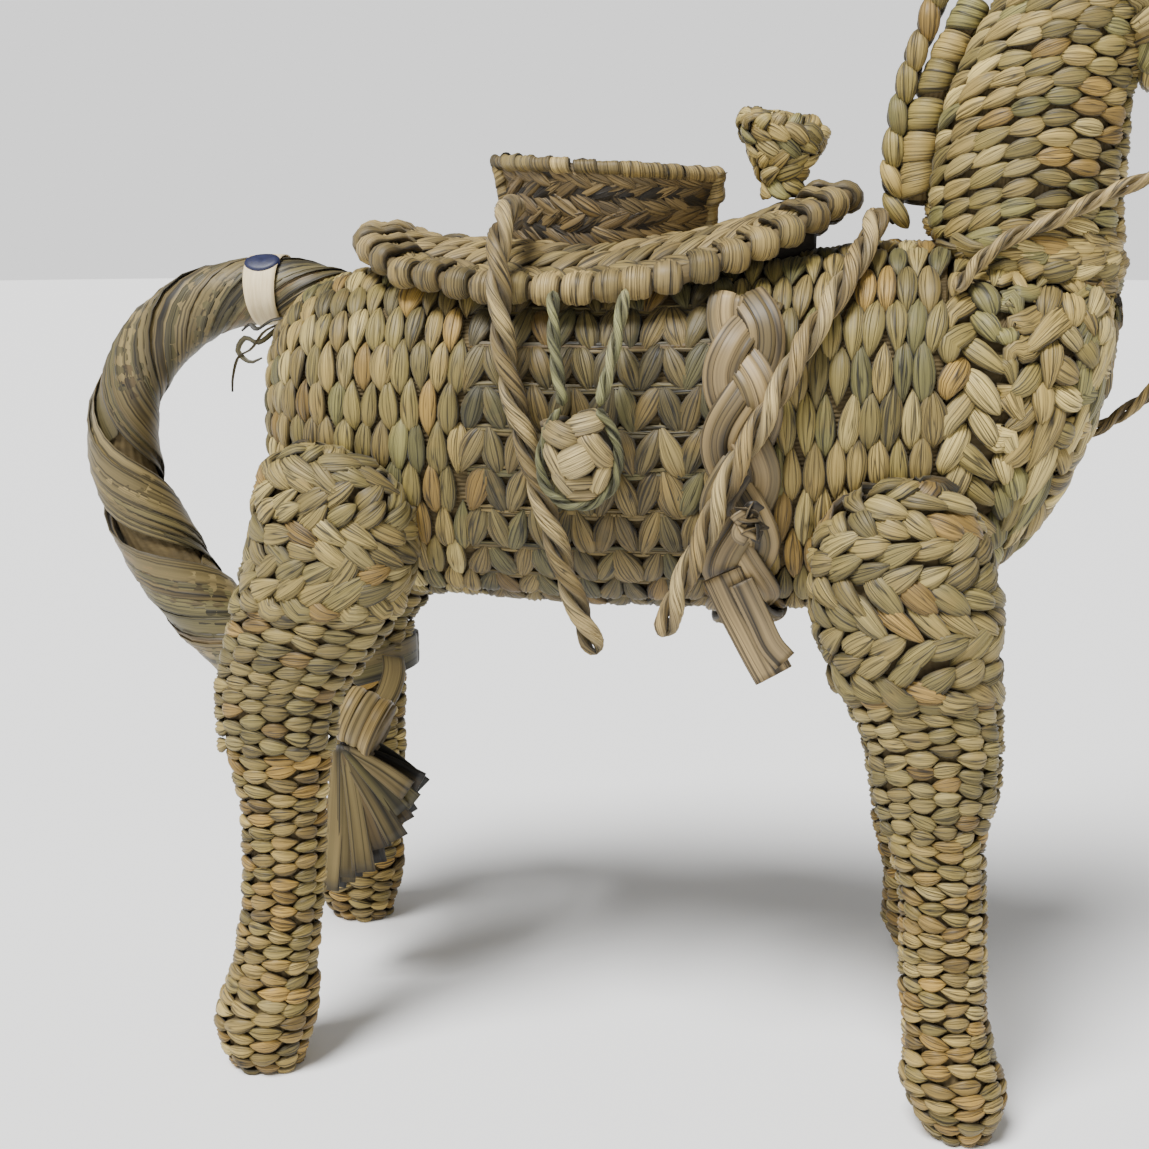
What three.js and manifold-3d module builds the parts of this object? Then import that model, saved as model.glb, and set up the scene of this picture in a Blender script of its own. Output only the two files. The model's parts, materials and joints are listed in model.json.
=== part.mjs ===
// Woven rush horse with a small saddle, as an assembly of its separate pieces.
// Millimetres, +Z up, +X towards the muzzle, near side at -Y.
// The origin is on the ground, midway between the tail and the muzzle.
import * as THREE from 'three';
import { mergeVertices } from 'three/addons/utils/BufferGeometryUtils.js';
import Module from 'manifold-3d';

// ---- driving dimensions ----
const GAP = 0.3; // clearance between touching pieces
const CUT = 0.5; // clearance of a piece that is cut to fit its neighbour
const ROUNDNESS = 2.4; // superellipse power of the woven sections
const BARREL_SIDES = 24;
const LEG_SIDES = 14;
const WIRE_SIDES = 8;
const BARREL_WALL = 7;
const TRACK_HALF = 82; // hoof centre from the middle plane
const HIP_HALF = 65; // leg axis at the hip from the middle plane
const HIP_HEIGHT = 260;
const FAR_LEG_SETBACK = -9; // the far legs stand a little further back
const WIRE_R = 2.5;
const WIRE_BORE_R = 3.2;
const HOOF_FLOOR = 9;
const LEG_WIRE_TOP = 234;
const HATCH_X = [27, 78]; // unwoven gap in the back, under the raised front of the saddle
const HATCH_HALF = 25;
const RECESS_FLOOR = 346;
const MAT_THICK = 6;
const RIM_R = 5;
const ROPE_R = 4.8;
const REIN_R = 3;
const STIRRUP_CORD_R = 2.6;
const GIRTH_THICK = 5;
const GIRTH_X = [41, 71];

// Body stations: x, half width, top, bottom.
const BARREL = [
  [-165, 18, 318, 264],
  [-160, 38, 336, 245],
  [-148, 52, 350, 228],
  [-125, 62, 358, 214],
  [-90, 66, 361, 210],
  [-10, 67, 362, 208],
  [60, 66, 365, 209],
  [110, 64, 371, 212],
  [136, 62, 371, 216],
];
const CHEST = [
  [136.4, 61, 368, 217],
  [160, 57, 366, 229],
  [183, 48, 364, 254],
  [196, 38, 360, 286],
  [202.5, 27, 352, 304],
  [205.5, 12, 338, 320],
];
// Neck stations: height, centre x, half length along X, half width.
const NECK = [
  [335, 169, 37, 34],
  [362, 168, 39.5, 33],
  [385, 166.5, 40, 31],
  [408, 167, 39.5, 30],
  [430, 169.5, 37.5, 29],
  [452, 177, 36, 28],
  [478, 190, 34, 26],
];
// Head stations along the line from poll to muzzle: share of the line, half depth, half width.
const POLL = [164, 512];
const MUZZLE = [247, 439];
const HEAD = [
  [-0.1, 9, 10],
  [-0.03, 22, 21],
  [0.12, 36, 28],
  [0.36, 44, 30],
  [0.62, 35, 26],
  [0.84, 26, 21],
  [1.0, 23, 20],
  [1.08, 17, 16],
  [1.12, 8, 8],
];
// Forelock stations: x, height, radius.
const FORELOCK = [[175, 537, 4], [183, 540, 7.5], [196, 538.5, 8], [209, 532, 6], [219, 524.5, 3]];
// Leg stations: height, centre x, half length along X, half width.
const LEGS = {
  hind: {
    cap: [
      [215.7, -128, 39, 23], [235, -121.5, 38.5, 23.5], [262, -120, 36, 21], [278, -124, 26, 16],
      [284, -126, 13, 9],
    ],
    thigh: [[150, -148, 26.3, 19], [176, -146.5, 29.5, 21], [199, -135, 36, 22.5], [215.4, -128, 38.5, 22.5]],
    shin: [
      [42, -151.8, 20.2, 17], [59, -149, 19.3, 16], [78, -146, 18.9, 15.5], [100, -145, 19, 16],
      [126, -145.3, 20, 17.5], [149.7, -147, 24, 18],
    ],
    hoof: [[0, -154, 15, 13], [9, -156, 20, 18], [24, -155.5, 24, 20.5], [41.7, -151, 21.5, 17.5]],
  },
  front: {
    cap: [
      [192, 131, 34, 23], [213, 126, 37.5, 23.5], [232, 124, 39, 23.5], [254, 121, 35, 21], [270, 123, 25, 16],
      [277, 124, 12, 9],
    ],
    thigh: [[133, 139.5, 21.6, 17.5], [148, 139.5, 26, 18.5], [171, 138, 28.5, 20], [191.7, 131, 32.5, 22]],
    shin: [[50, 148.5, 17.5, 15.5], [77, 146.2, 17.8, 15], [103, 145.3, 17.4, 15.5], [132.7, 140.5, 20.3, 17]],
    hoof: [
      [0, 157, 12, 11], [12, 155.5, 19, 17.5], [24, 153, 22, 20], [40, 150, 18.5, 17], [49.7, 148.5, 18, 16],
    ],
  },
};
// How far the far front leg is bent back, by height.
const FAR_FRONT_BEND = [[0, 0], [50, 0], [90, -6], [140, -6], [200, 0], [300, 0]];
// Tail stations: x, height, radius.
const TAIL = [
  [-140, 346, 13], [-165, 348, 14], [-190, 345, 14.5], [-214, 335, 15], [-233, 318, 15], [-246, 296, 15],
  [-249.5, 271, 15.5], [-243.5, 246, 16.5], [-232, 222, 17.3], [-216, 199, 17.5], [-196, 179, 16.5],
  [-174, 163, 15], [-150, 149.5, 13], [-141, 145, 12.5],
];
const LABEL_X = [-177.5, -163];
const LABEL_Z = 347;
const LABEL_R = 15.6;
// Mane strands: x and height from the withers up to the poll.
const MANE_OUTER = [
  [115.5, 377], [112, 392], [111.5, 409], [113.5, 426], [117.5, 442], [123, 459], [130, 477], [136, 494],
  [142, 509],
];
const MANE_OUTER_R = 6;
const MANE_INNER_R = 3.9;
const MANE_INNER = [[122.4, 392], [122.6, 408], [126, 430], [134, 450], [142, 466]];
// Tie at the tail's end: distance along it, radius.
const TIE_ORIGIN = [-141, 0, 145];
const TIE_WAY = [0.9, 0, -0.436];
const TIE = [[0.3, 12.6], [3, 14.5], [18, 14], [21, 12]];
const TIE_CLEARANCE = [[-0.4, 13.2], [3, 15], [18, 14.5], [21.4, 12.5]];
const TASSEL_DEPTH = 22;
// Saddle mat stations: x, half width, height of the middle, drop at the edge.
const MAT = [
  [-115, 9, 370, 1], [-107, 25, 368.5, 5], [-90, 40, 366, 11], [-55, 51, 363.9, 14.8],
  [-12, 53, 363.8, 16], [26, 50, 368, 14], [50, 42, 374, 11], [70, 29, 381, 7.5], [87, 10, 388, 2],
];
// Cantle: the plan of its middle line, its top at each end, and how far it leans out.
const CANTLE_PLAN = [[-57, 10], [-16, -42], [32, 10]];
const CANTLE_TOP = [406, 400];
const CANTLE_FLARE = 6.5;
const CANTLE_HALF = 2.5;
// Horn stations: height, centre x, half length, half width, tilt down towards the front.
const HORN = [
  [389, 65.5, 8.5, 8, 0], [396, 65, 8, 7.5, 0], [404, 65, 12, 10, 0.04], [412.5, 65, 17, 12, 0.09],
  [419, 64.5, 19.5, 13, 0.12], [423.5, 63, 15, 9, 0.12],
];
const KNOT_CENTRE = [62, -78.9, 262];
const KNOT_SIZE = [7, 5, 12];
// Girth's loose end: x, y, height, half width.
const LOOSE_END = [
  [49, -65.5, 235, 8.5], [54.5, -61.5, 223, 9.3], [60.5, -61, 212, 10.3], [66.5, -61, 201, 10.3],
  [71, -60, 193.5, 9.3],
];
// Stirrup knot stations: height over its middle, half length, half thickness.
const STIRRUP_CENTRE = [-8, 80, 287];
const STIRRUP = [[-19.5, 6, 4], [-16, 12, 8], [-6, 15.5, 10.5], [6, 15, 10.5], [14, 13, 9], [18, 7, 4.5]];
const STIRRUP_CORDS = {
  rear: [[-22, 68, 352], [-20, 75, 330], [-15.5, 80, 306.2]],
  front: [[8, 68, 353], [5, 75, 331], [-0.5, 80, 306.2]],
};
// Cords, laid over the flank: x, distance from the middle plane, height.
const FRONT_ROPE = [
  [103, 12, 378.5], [106, 21, 380.5], [103, 33, 372.5], [98, 45.5, 361.5], [88.5, 60, 345], [79, 71.5, 329],
  [69, 77, 309], [54, 79, 281], [42, 76.5, 252], [33, 73, 232], [25, 71, 209],
];
const REAR_ROPE = [
  [-50, 13.5, 383.5], [-49.2, 22, 385], [-47.5, 32, 385.3], [-46.2, 42, 385], [-45.4, 52, 382.5],
  [-45.5, 61.5, 374.5], [-44.8, 68.8, 363], [-43.5, 71.5, 348], [-42, 72.5, 331], [-38.5, 73.5, 312],
  [-33.5, 74, 295], [-28.5, 74, 276], [-22.5, 73.5, 257], [-14.5, 72, 230], [-3.1, 69.3, 199.5],
];
const NEAR_REIN = [
  [138.5, 48, 352.6], [147.2, 37, 363], [158.9, 36, 372.6], [170.7, 35.5, 377.7], [181, 33.5, 382.4],
  [194.5, 30.5, 389.4], [202.7, 29.8, 392.9], [211.6, 30, 396.3], [221, 30.4, 402], [228.5, 29.8, 412],
  [232.6, 29.2, 424], [233.4, 28.8, 436], [232, 28.6, 446.5],
];
const FAR_REIN = [
  [138.5, 48, 352.6], [145, 57.5, 338], [150.5, 61.5, 322], [157, 62.5, 306], [165, 61.5, 292],
  [175, 59.5, 281.5], [185, 56.5, 277.5], [194.5, 53, 279.5], [203.4, 50, 283.8], [211.5, 46, 288.2],
  [220, 42, 295.7], [228.6, 40, 303.4], [235.5, 37, 316], [240, 34.5, 335], [242, 32.5, 358],
  [242, 31, 382], [240.5, 30, 405], [237, 29.4, 425], [233.6, 29, 438], [232, 28.6, 446.5],
];

const wasm = await Module();
wasm.setup();
const horse = new THREE.Group();

const finishes = {
  rush: { color: 0xa8996a, roughness: 0.78, metalness: 0 },
  cap: { color: 0x9a8f66, roughness: 0.8, metalness: 0 },
  leaf: { color: 0xa39070, roughness: 0.72, metalness: 0 },
  rope: { color: 0xb09f7a, roughness: 0.75, metalness: 0 },
  green: { color: 0x8d9374, roughness: 0.75, metalness: 0 },
  cream: { color: 0xcfc3a0, roughness: 0.8, metalness: 0 },
  wire: { color: 0x6f6f6c, roughness: 0.45, metalness: 0.9 },
  stuffing: { color: 0x4d4430, roughness: 0.95, metalness: 0 },
};

function add(name, geometry, finish) {
  const mesh = new THREE.Mesh(geometry, new THREE.MeshStandardMaterial(finishes[finish]));
  mesh.name = name;
  horse.add(mesh);
}

// ---- geometry helpers ----
function ring(centre, u, v, a, b, sides = LEG_SIDES, power = 2) {
  return Array.from({ length: sides }, (_, i) => {
    const angle = (i / sides) * Math.PI * 2;
    const c = Math.cos(angle);
    const s = Math.sin(angle);
    const across = Math.sign(c) * Math.abs(c) ** (2 / power) * a;
    const up = Math.sign(s) * Math.abs(s) ** (2 / power) * b;
    return centre.clone().addScaledVector(u, across).addScaledVector(v, up);
  });
}

// A closed skin over a row of rings: capped at both ends, or joined end to end.
function skin(rings, joined = false) {
  const sides = rings[0].length;
  const points = rings.flat();
  const faces = [];
  const bands = joined ? rings.length : rings.length - 1;
  for (let band = 0; band < bands; band += 1) {
    const next = (band + 1) % rings.length;
    for (let side = 0; side < sides; side += 1) {
      const turn = (side + 1) % sides;
      const [a, b] = [band * sides + side, band * sides + turn];
      const [c, d] = [next * sides + turn, next * sides + side];
      faces.push([a, b, c], [a, c, d]);
    }
  }
  if (!joined) {
    for (const last of [false, true]) {
      const start = last ? (rings.length - 1) * sides : 0;
      const hub = points.length;
      const end = rings[last ? rings.length - 1 : 0];
      points.push(end.reduce((sum, p) => sum.add(p), new THREE.Vector3()).divideScalar(sides));
      for (let side = 0; side < sides; side += 1) {
        const [a, b] = [start + side, start + ((side + 1) % sides)];
        faces.push(last ? [hub, a, b] : [hub, b, a]);
      }
    }
  }
  const volume = faces.reduce((sum, [a, b, c]) => {
    return sum + points[a].dot(points[b].clone().cross(points[c]));
  }, 0);
  const index = faces.flatMap(([a, b, c]) => (volume > 0 ? [a, b, c] : [a, c, b]));
  const geometry = new THREE.BufferGeometry();
  geometry.setAttribute('position', new THREE.Float32BufferAttribute(points.flatMap((p) => p.toArray()), 3));
  geometry.setIndex(index);
  return geometry;
}

function toSolid(geometry) {
  const bare = geometry.clone();
  bare.deleteAttribute('normal');
  bare.deleteAttribute('uv');
  const merged = mergeVertices(bare, 1e-4);
  return new wasm.Manifold(new wasm.Mesh({
    numProp: 3,
    vertProperties: new Float32Array(merged.attributes.position.array),
    triVerts: new Uint32Array(merged.index.array),
  }));
}

function cut(geometry, ...tools) {
  const solid = tools.reduce((body, tool) => body.subtract(toSolid(tool)), toSolid(geometry));
  const mesh = solid.getMesh();
  const result = new THREE.BufferGeometry();
  result.setAttribute('position', new THREE.Float32BufferAttribute(mesh.vertProperties, 3));
  result.setIndex(Array.from(mesh.triVerts));
  return result;
}

function tube(points, radius, sides, steps) {
  const section = new THREE.Shape();
  section.absarc(0, 0, radius, 0, Math.PI * 2);
  const path = new THREE.CatmullRomCurve3(points);
  return new THREE.ExtrudeGeometry(section, { steps, curveSegments: sides / 2, extrudePath: path });
}

function block(low, high) {
  const size = high.map((value, i) => value - low[i]);
  const box = new THREE.BoxGeometry(...size);
  box.translate(...high.map((value, i) => (value + low[i]) / 2));
  return box;
}

// Rows of numbers read at any place between their stations.
function between(stations, x) {
  const last = stations.length - 2;
  const found = stations.findIndex((row, i) => i <= last && x <= stations[i + 1][0]);
  const i = found < 0 ? last : found;
  const share = (x - stations[i][0]) / (stations[i + 1][0] - stations[i][0]);
  return stations[i].map((value, k) => value + (stations[i + 1][k] - value) * share);
}

const AXIS_X = new THREE.Vector3(1, 0, 0);
const AXIS_Y = new THREE.Vector3(0, 1, 0);
const AXIS_Z = new THREE.Vector3(0, 0, 1);

// ---- body ----
function bodyRing([x, half, top, bottom], grow = 0) {
  const centre = new THREE.Vector3(x, 0, (top + bottom) / 2);
  return ring(centre, AXIS_Y, AXIS_Z, half + grow, (top - bottom) / 2 + grow, BARREL_SIDES, ROUNDNESS);
}

function grown(stations) {
  const rings = stations.map((row) => bodyRing(row, CUT));
  rings.unshift(bodyRing([stations[0][0] - CUT, ...stations[0].slice(1)], CUT));
  const last = stations[stations.length - 1];
  rings.push(bodyRing([last[0] + CUT, ...last.slice(1)], CUT));
  return skin(rings);
}

const point3 = ([x, y, z]) => new THREE.Vector3(x, y, z);
const SPINE = [
  [-110, 0, 312], [0, 0, 306], [100, 0, 312], [146, 0, 332], [165, 0, 368], [167, 0, 410], [178, 0, 448],
  [196, 0, 480],
].map(point3);
const midPoint = ([x, z]) => new THREE.Vector3(x, 0, z);
const TAIL_WIRE = [[-112, 338], ...TAIL.slice(0, 11)].map(midPoint);
const spineBore = tube([new THREE.Vector3(-114, 0, 312.5), ...SPINE.slice(1)], 3.9, WIRE_SIDES, 24);
const tailBore = tube(TAIL_WIRE, 3, WIRE_SIDES, 20);
const barrelTool = grown(BARREL);
const chestTool = grown(CHEST);

function buildBody() {
  const outer = BARREL.map((row) => bodyRing(row));
  const hollow = [
    [-152, 30, 329, 252],
    ...BARREL.slice(2, -1).map(([x, half, top, bottom]) => [x, half, top, bottom]),
    [135.9, 62, 371, 216],
  ];
  const inner = hollow.map((row, i) => bodyRing(row, i === 0 ? 0 : -BARREL_WALL));
  inner.push(bodyRing([136, 62, 371, 216], -BARREL_WALL));
  const hatch = block([HATCH_X[0], -HATCH_HALF, 330], [HATCH_X[1], HATCH_HALF, 400]);
  add('barrel_weave', cut(skin([...outer, ...inner.reverse()]), hatch, tailBore), 'rush');

  const fill = hollow.slice(1).map((row) => bodyRing(row, -BARREL_WALL - GAP - 0.4));
  const recess = block([HATCH_X[0] - 6, -HATCH_HALF - 6, RECESS_FLOOR], [HATCH_X[1] + 6, HATCH_HALF + 6, 400]);
  add('straw_stuffing', cut(skin(fill), recess, spineBore, tailBore), 'stuffing');

  add('chest_braid', cut(skin(CHEST.map((row) => bodyRing(row))), spineBore), 'cap');
  const neck = NECK.map(([z, x, a, b]) => ring(new THREE.Vector3(x, 0, z), AXIS_X, AXIS_Y, a, b, 20, 2.2));
  add('neck_weave', cut(skin(neck), chestTool, barrelTool, spineBore), 'rush');
  add('spine_wire', tube(SPINE, 3, WIRE_SIDES, 24), 'wire');
}

// ---- head ----
const headLine = new THREE.Vector3(MUZZLE[0] - POLL[0], 0, MUZZLE[1] - POLL[1]);
const headUp = new THREE.Vector3(-headLine.z, 0, headLine.x).normalize();
function headRing(share, depth, width, grow = 0) {
  const centre = new THREE.Vector3(POLL[0], 0, POLL[1]).addScaledVector(headLine, share);
  return ring(centre, AXIS_Y, headUp, width + grow, depth + grow, 20, 2.2);
}

function buildHead() {
  const neckTool = skin(NECK.map(([z, x, a, b], i) => {
    const centre = new THREE.Vector3(x, 0, i === NECK.length - 1 ? z + CUT : z);
    return ring(centre, AXIS_X, AXIS_Y, a + CUT, b + CUT, 20, 2.2);
  }));
  const head = skin(HEAD.map((row) => headRing(...row)));
  add('head_braid', cut(head, neckTool, spineBore), 'cap');
  const straps = [0.78, 0.84, 0.87].map((share) => between(HEAD, share));
  const outside = straps.map((row) => headRing(...row, 3.4));
  const inside = straps.map((row) => headRing(...row, GAP));
  add('noseband', skin([...outside, ...inside.reverse()], true), 'rope');
  const headTool = skin(HEAD.map(([share, depth, width]) => headRing(share, depth, width, CUT)));
  for (const [name, side] of [['near_ear', -1], ['far_ear', 1]]) {
    const ear = [[0, 8], [12, 10], [24, 8], [34, 4.5], [38, 1.5]].map(([up, r]) => {
      const centre = new THREE.Vector3(165 - up * 0.1, side * (17 + up * 0.12), 523 + up);
      return ring(centre, AXIS_X, AXIS_Y, r, r * 0.7, 12);
    });
    add(name, cut(skin(ear), headTool), 'rush');
  }
  const lock = FORELOCK.map(([x, z, r]) => ring(midPoint([x, z]), AXIS_Y, headUp, r * 1.4, r * 0.8, 12));
  add('forelock', cut(skin(lock), headTool), 'leaf');
}

// ---- mane ----
function strand(points, radius, sides) {
  const curve = new THREE.CatmullRomCurve3(points);
  const stations = curve.getSpacedPoints(points.length * 2);
  return skin(stations.map((centre, i) => {
    const run = curve.getTangentAt(i / (stations.length - 1));
    const out = new THREE.Vector3().crossVectors(run, AXIS_Y).normalize();
    return ring(centre, AXIS_Y, out, radius, radius, sides);
  }));
}

function buildMane() {
  const outer = MANE_OUTER.map(midPoint);
  add('mane_outer_plait', strand(outer, MANE_OUTER_R, 10), 'rush');
  add('mane_inner_beads', strand(MANE_INNER.map(midPoint), MANE_INNER_R, 8), 'rush');
}

// ---- legs ----
function legY(z) {
  const share = Math.min(1, z / HIP_HEIGHT);
  return TRACK_HALF + (HIP_HALF - TRACK_HALF) * share;
}

function legBuilder(kind, side) {
  const parts = LEGS[kind];
  const setback = side > 0 ? FAR_LEG_SETBACK : 0;
  const shift = (z) => setback + (side > 0 && kind === 'front' ? between(FAR_FRONT_BEND, z)[1] : 0);
  const axis = [...parts.hoof, ...parts.shin, ...parts.thigh, ...parts.cap];
  const legRing = ([z, x, a, b]) => {
    const centre = new THREE.Vector3(x + shift(z), side * legY(z), z);
    return ring(centre, AXIS_X, AXIS_Y, a, b, LEG_SIDES, 2.2);
  };
  const wireRing = (z, r, sides = LEG_SIDES) => {
    const centre = new THREE.Vector3(between(axis, z)[1] + shift(z), side * legY(z), z);
    return ring(centre, AXIS_X, AXIS_Y, r, r, sides);
  };
  const sleeve = (rows) => {
    const bore = rows.map((row) => wireRing(row[0], WIRE_BORE_R)).reverse();
    return skin([...rows.map(legRing), ...bore], true);
  };
  const hoofBore = parts.hoof.map((row) => row[0]).filter((z) => z > HOOF_FLOOR).reverse();
  const hoof = [...parts.hoof.map(legRing), ...hoofBore.map((z) => wireRing(z, WIRE_BORE_R)),
    wireRing(HOOF_FLOOR + 1, WIRE_BORE_R)];
  const capHeights = parts.cap.map((row) => row[0]).filter((z) => z <= LEG_WIRE_TOP);
  const capBore = [LEG_WIRE_TOP + 1, ...capHeights.reverse()];
  const cap = [...capBore.map((z) => wireRing(z, WIRE_BORE_R)), ...parts.cap.map(legRing)];
  const heights = axis.map((row) => row[0]).filter((z) => z > HOOF_FLOOR + 2 && z < LEG_WIRE_TOP - 2);
  const wire = [HOOF_FLOOR + 2, ...heights, LEG_WIRE_TOP].map((z) => wireRing(z, WIRE_R, WIRE_SIDES));
  return { cap: cut(skin(cap), barrelTool, chestTool), thigh: sleeve(parts.thigh), shin: sleeve(parts.shin),
    hoof: skin(hoof), wire: skin(wire) };
}

function buildLegs() {
  for (const kind of ['hind', 'front']) {
    for (const [place, side] of [['near', -1], ['far', 1]]) {
      const leg = legBuilder(kind, side);
      add(`${place}_${kind}_hip_cap`, leg.cap, 'cap');
      add(`${place}_${kind}_thigh`, leg.thigh, 'rush');
      add(`${place}_${kind}_shin`, leg.shin, 'rush');
      add(`${place}_${kind}_hoof`, leg.hoof, 'rush');
      add(`${place}_${kind}_leg_wire`, leg.wire, 'wire');
    }
  }
}

// ---- tail ----
function buildTail() {
  const path = TAIL.map(midPoint);
  const curve = new THREE.CatmullRomCurve3(path);
  const bundle = path.map((centre, i) => {
    const run = curve.getTangent(i / (path.length - 1));
    const out = new THREE.Vector3().crossVectors(run, AXIS_Y).normalize();
    return ring(centre, AXIS_Y, out, TAIL[i][2], TAIL[i][2], 14);
  });
  add('tail_bundle', cut(skin(bundle), barrelTool, tailBore), 'leaf');
  const wireRun = TAIL_WIRE.slice(0, -1);
  add('tail_wire', tube(wireRun, 2.2, WIRE_SIDES, 20), 'wire');

  const along = new THREE.Vector3(...TIE_WAY).normalize();
  const across = new THREE.Vector3(-TIE_WAY[2], 0, TIE_WAY[0]).normalize();
  const start = new THREE.Vector3(...TIE_ORIGIN).setX(TIE_ORIGIN[0] + GAP);
  const tie = (rows) => skin(rows.map(([run, r]) => {
    return ring(start.clone().addScaledVector(along, run), AXIS_Y, across, r, r, 14);
  }));
  add('tail_tie_band', tie(TIE), 'leaf');

  // The tassel is a fan of stiff cut leaves that droops from the tie.
  const fan = new THREE.Shape();
  fan.moveTo(-113, 145);
  fan.quadraticCurveTo(-105, 128, -102, 116);
  fan.lineTo(-105, 100);
  fan.lineTo(-121, 72);
  fan.lineTo(-144, 46);
  fan.lineTo(-152, 52);
  fan.quadraticCurveTo(-148, 95, -138, 122);
  fan.lineTo(-124.4, 124.5);
  fan.closePath();
  const tassel = new THREE.ExtrudeGeometry(fan, { depth: TASSEL_DEPTH, bevelEnabled: false, curveSegments: 5 });
  tassel.rotateX(Math.PI / 2);
  tassel.translate(0, TASSEL_DEPTH / 2, 0);
  add('tail_tassel', cut(tassel, tie(TIE_CLEARANCE)), 'leaf');

  const band = (grow) => LABEL_X.map((x) => {
    return ring(new THREE.Vector3(x, 0, LABEL_Z), AXIS_Y, AXIS_Z, LABEL_R + grow, LABEL_R + grow + 0.6, 14);
  });
  add('blank_paper_label', skin([...band(1.2), ...band(0)].reverse(), true), 'cream');
}

// ---- saddle ----
function matPoint(row, share) {
  const [x, half, height, drop] = row;
  return new THREE.Vector3(x, half * share, height - drop * share * share);
}

function buildSaddle() {
  const across = [-1, -0.75, -0.5, -0.25, 0, 0.25, 0.5, 0.75, 1];
  const rings = MAT.map((row) => {
    const under = across.map((share) => matPoint(row, share));
    const over = across.map((share) => matPoint(row, share).add(new THREE.Vector3(0, 0, MAT_THICK)));
    return [...under, ...over.reverse()];
  });
  const reach = RIM_R + 0.8;
  const lift = new THREE.Vector3(0, 0, MAT_THICK / 2);
  const edge = (side) => MAT.map((row, i) => {
    const [before, after] = [MAT[Math.max(0, i - 1)], MAT[Math.min(MAT.length - 1, i + 1)]];
    const away = new THREE.Vector3(before[1] - after[1], side * (after[0] - before[0]), 0).normalize();
    return matPoint(row, side).add(lift).addScaledVector(away, reach);
  });
  const [first, last] = [MAT[0], MAT[MAT.length - 1]];
  const tailTip = matPoint(first, 0).add(lift).add(new THREE.Vector3(-reach, 0, 0));
  const frontTip = matPoint(last, 0).add(lift).add(new THREE.Vector3(reach, 0, 1.5));
  const outline = [tailTip, ...edge(-1), frontTip, ...edge(1).reverse()];
  const loop = new THREE.CatmullRomCurve3(outline, true, 'centripetal');
  const rimSteps = 56;
  const rim = (radius) => skin(Array.from({ length: rimSteps }, (_, i) => {
    const run = loop.getTangentAt(i / rimSteps);
    const out = new THREE.Vector3().crossVectors(AXIS_Z, run).normalize();
    const up = new THREE.Vector3().crossVectors(run, out).normalize();
    return ring(loop.getPointAt(i / rimSteps), out, up, radius, radius, 8);
  }), true);
  add('saddle_mat', cut(skin(rings), rim(RIM_R + 0.4)), 'rush');
  add('saddle_rim', rim(RIM_R), 'rush');

  // The cantle is an upright woven band whose two ends turn away from the near side.
  const plan = new THREE.QuadraticBezierCurve3(...CANTLE_PLAN.map(([x, y]) => new THREE.Vector3(x, y, 0)));
  const steps = 12;
  const cantle = plan.getSpacedPoints(steps).map((centre, i) => {
    const share = i / steps;
    const run = plan.getTangentAt(share);
    const out = new THREE.Vector3(run.y, -run.x, 0).normalize();
    const [, half, height, drop] = between(MAT, centre.x);
    const base = height - drop * (centre.y / half) ** 2 + MAT_THICK + 1.2;
    const top = CANTLE_TOP[0] + (CANTLE_TOP[1] - CANTLE_TOP[0]) * share;
    const low = [[-CANTLE_HALF, base], [CANTLE_HALF, base]];
    const high = [[CANTLE_FLARE + CANTLE_HALF, top], [CANTLE_FLARE - CANTLE_HALF, top]];
    return [...low, ...high].map(([away, z]) => {
      return new THREE.Vector3(centre.x, centre.y, z).addScaledVector(out, away);
    });
  });
  add('cantle_band', skin(cantle), 'rush');

  add('saddle_horn', skin(HORN.map(([z, x, a, b, tilt]) => {
    return ring(new THREE.Vector3(x, 0, z), new THREE.Vector3(1, 0, -tilt).normalize(), AXIS_Y, a, b, 14, 2.2);
  })), 'rush');
}

// ---- girth ----
function girthRing(angle, xs = GIRTH_X, inner = CUT + 0.1, outer = CUT + 0.1 + GIRTH_THICK) {
  const corner = (x, grow) => {
    const [, half, top, bottom] = between(BARREL, x);
    const c = Math.cos(angle);
    const s = Math.sin(angle);
    const y = Math.sign(c) * Math.abs(c) ** (2 / ROUNDNESS) * (half + grow);
    const z = Math.sign(s) * Math.abs(s) ** (2 / ROUNDNESS) * ((top - bottom) / 2 + grow);
    return new THREE.Vector3(x, y, (top + bottom) / 2 + z);
  };
  return [corner(xs[0], inner), corner(xs[1], inner), corner(xs[1], outer), corner(xs[0], outer)];
}

function buildGirth() {
  const step = (Math.PI * 2) / BARREL_SIDES;
  const angles = Array.from({ length: 21 }, (_, i) => (i - 16) * step);
  add('girth_braid', skin(angles.map((angle) => girthRing(angle))), 'leaf');
  const knot = new THREE.SphereGeometry(1, 12, 8);
  knot.scale(...KNOT_SIZE);
  knot.rotateY(0.35);
  knot.translate(...KNOT_CENTRE);
  add('girth_knot', knot, 'leaf');
  add('girth_loose_end', skin(LOOSE_END.map(([x, y, z, half]) => {
    const centre = new THREE.Vector3(x, y, z);
    const wide = new THREE.Vector3(0.9, 0, 0.43).normalize();
    return [[-half, -1.4], [half, -1.4], [half, 1.4], [-half, 1.4]].map(([a, b]) => {
      return centre.clone().addScaledVector(wide, a).addScaledVector(AXIS_Y, b);
    });
  })), 'leaf');
}

// ---- ropes, reins and stirrups ----
function buildRopes() {
  const placed = (route, side) => route.map(([x, y, z]) => new THREE.Vector3(x, side * y, z));
  for (const [place, side] of [['near', -1], ['far', 1]]) {
    add(`${place}_front_rope`, tube(placed(FRONT_ROPE, side), ROPE_R, 8, 14), 'rope');
    add(`${place}_rear_rope`, tube(placed(REAR_ROPE, side), ROPE_R, 8, 20), 'rope');
  }
  add('near_rein', tube(placed(NEAR_REIN, -1), REIN_R, 8, 22), 'rope');
  add('far_rein', tube(placed(FAR_REIN, 1), REIN_R, 8, 32), 'rope');
}

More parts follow.
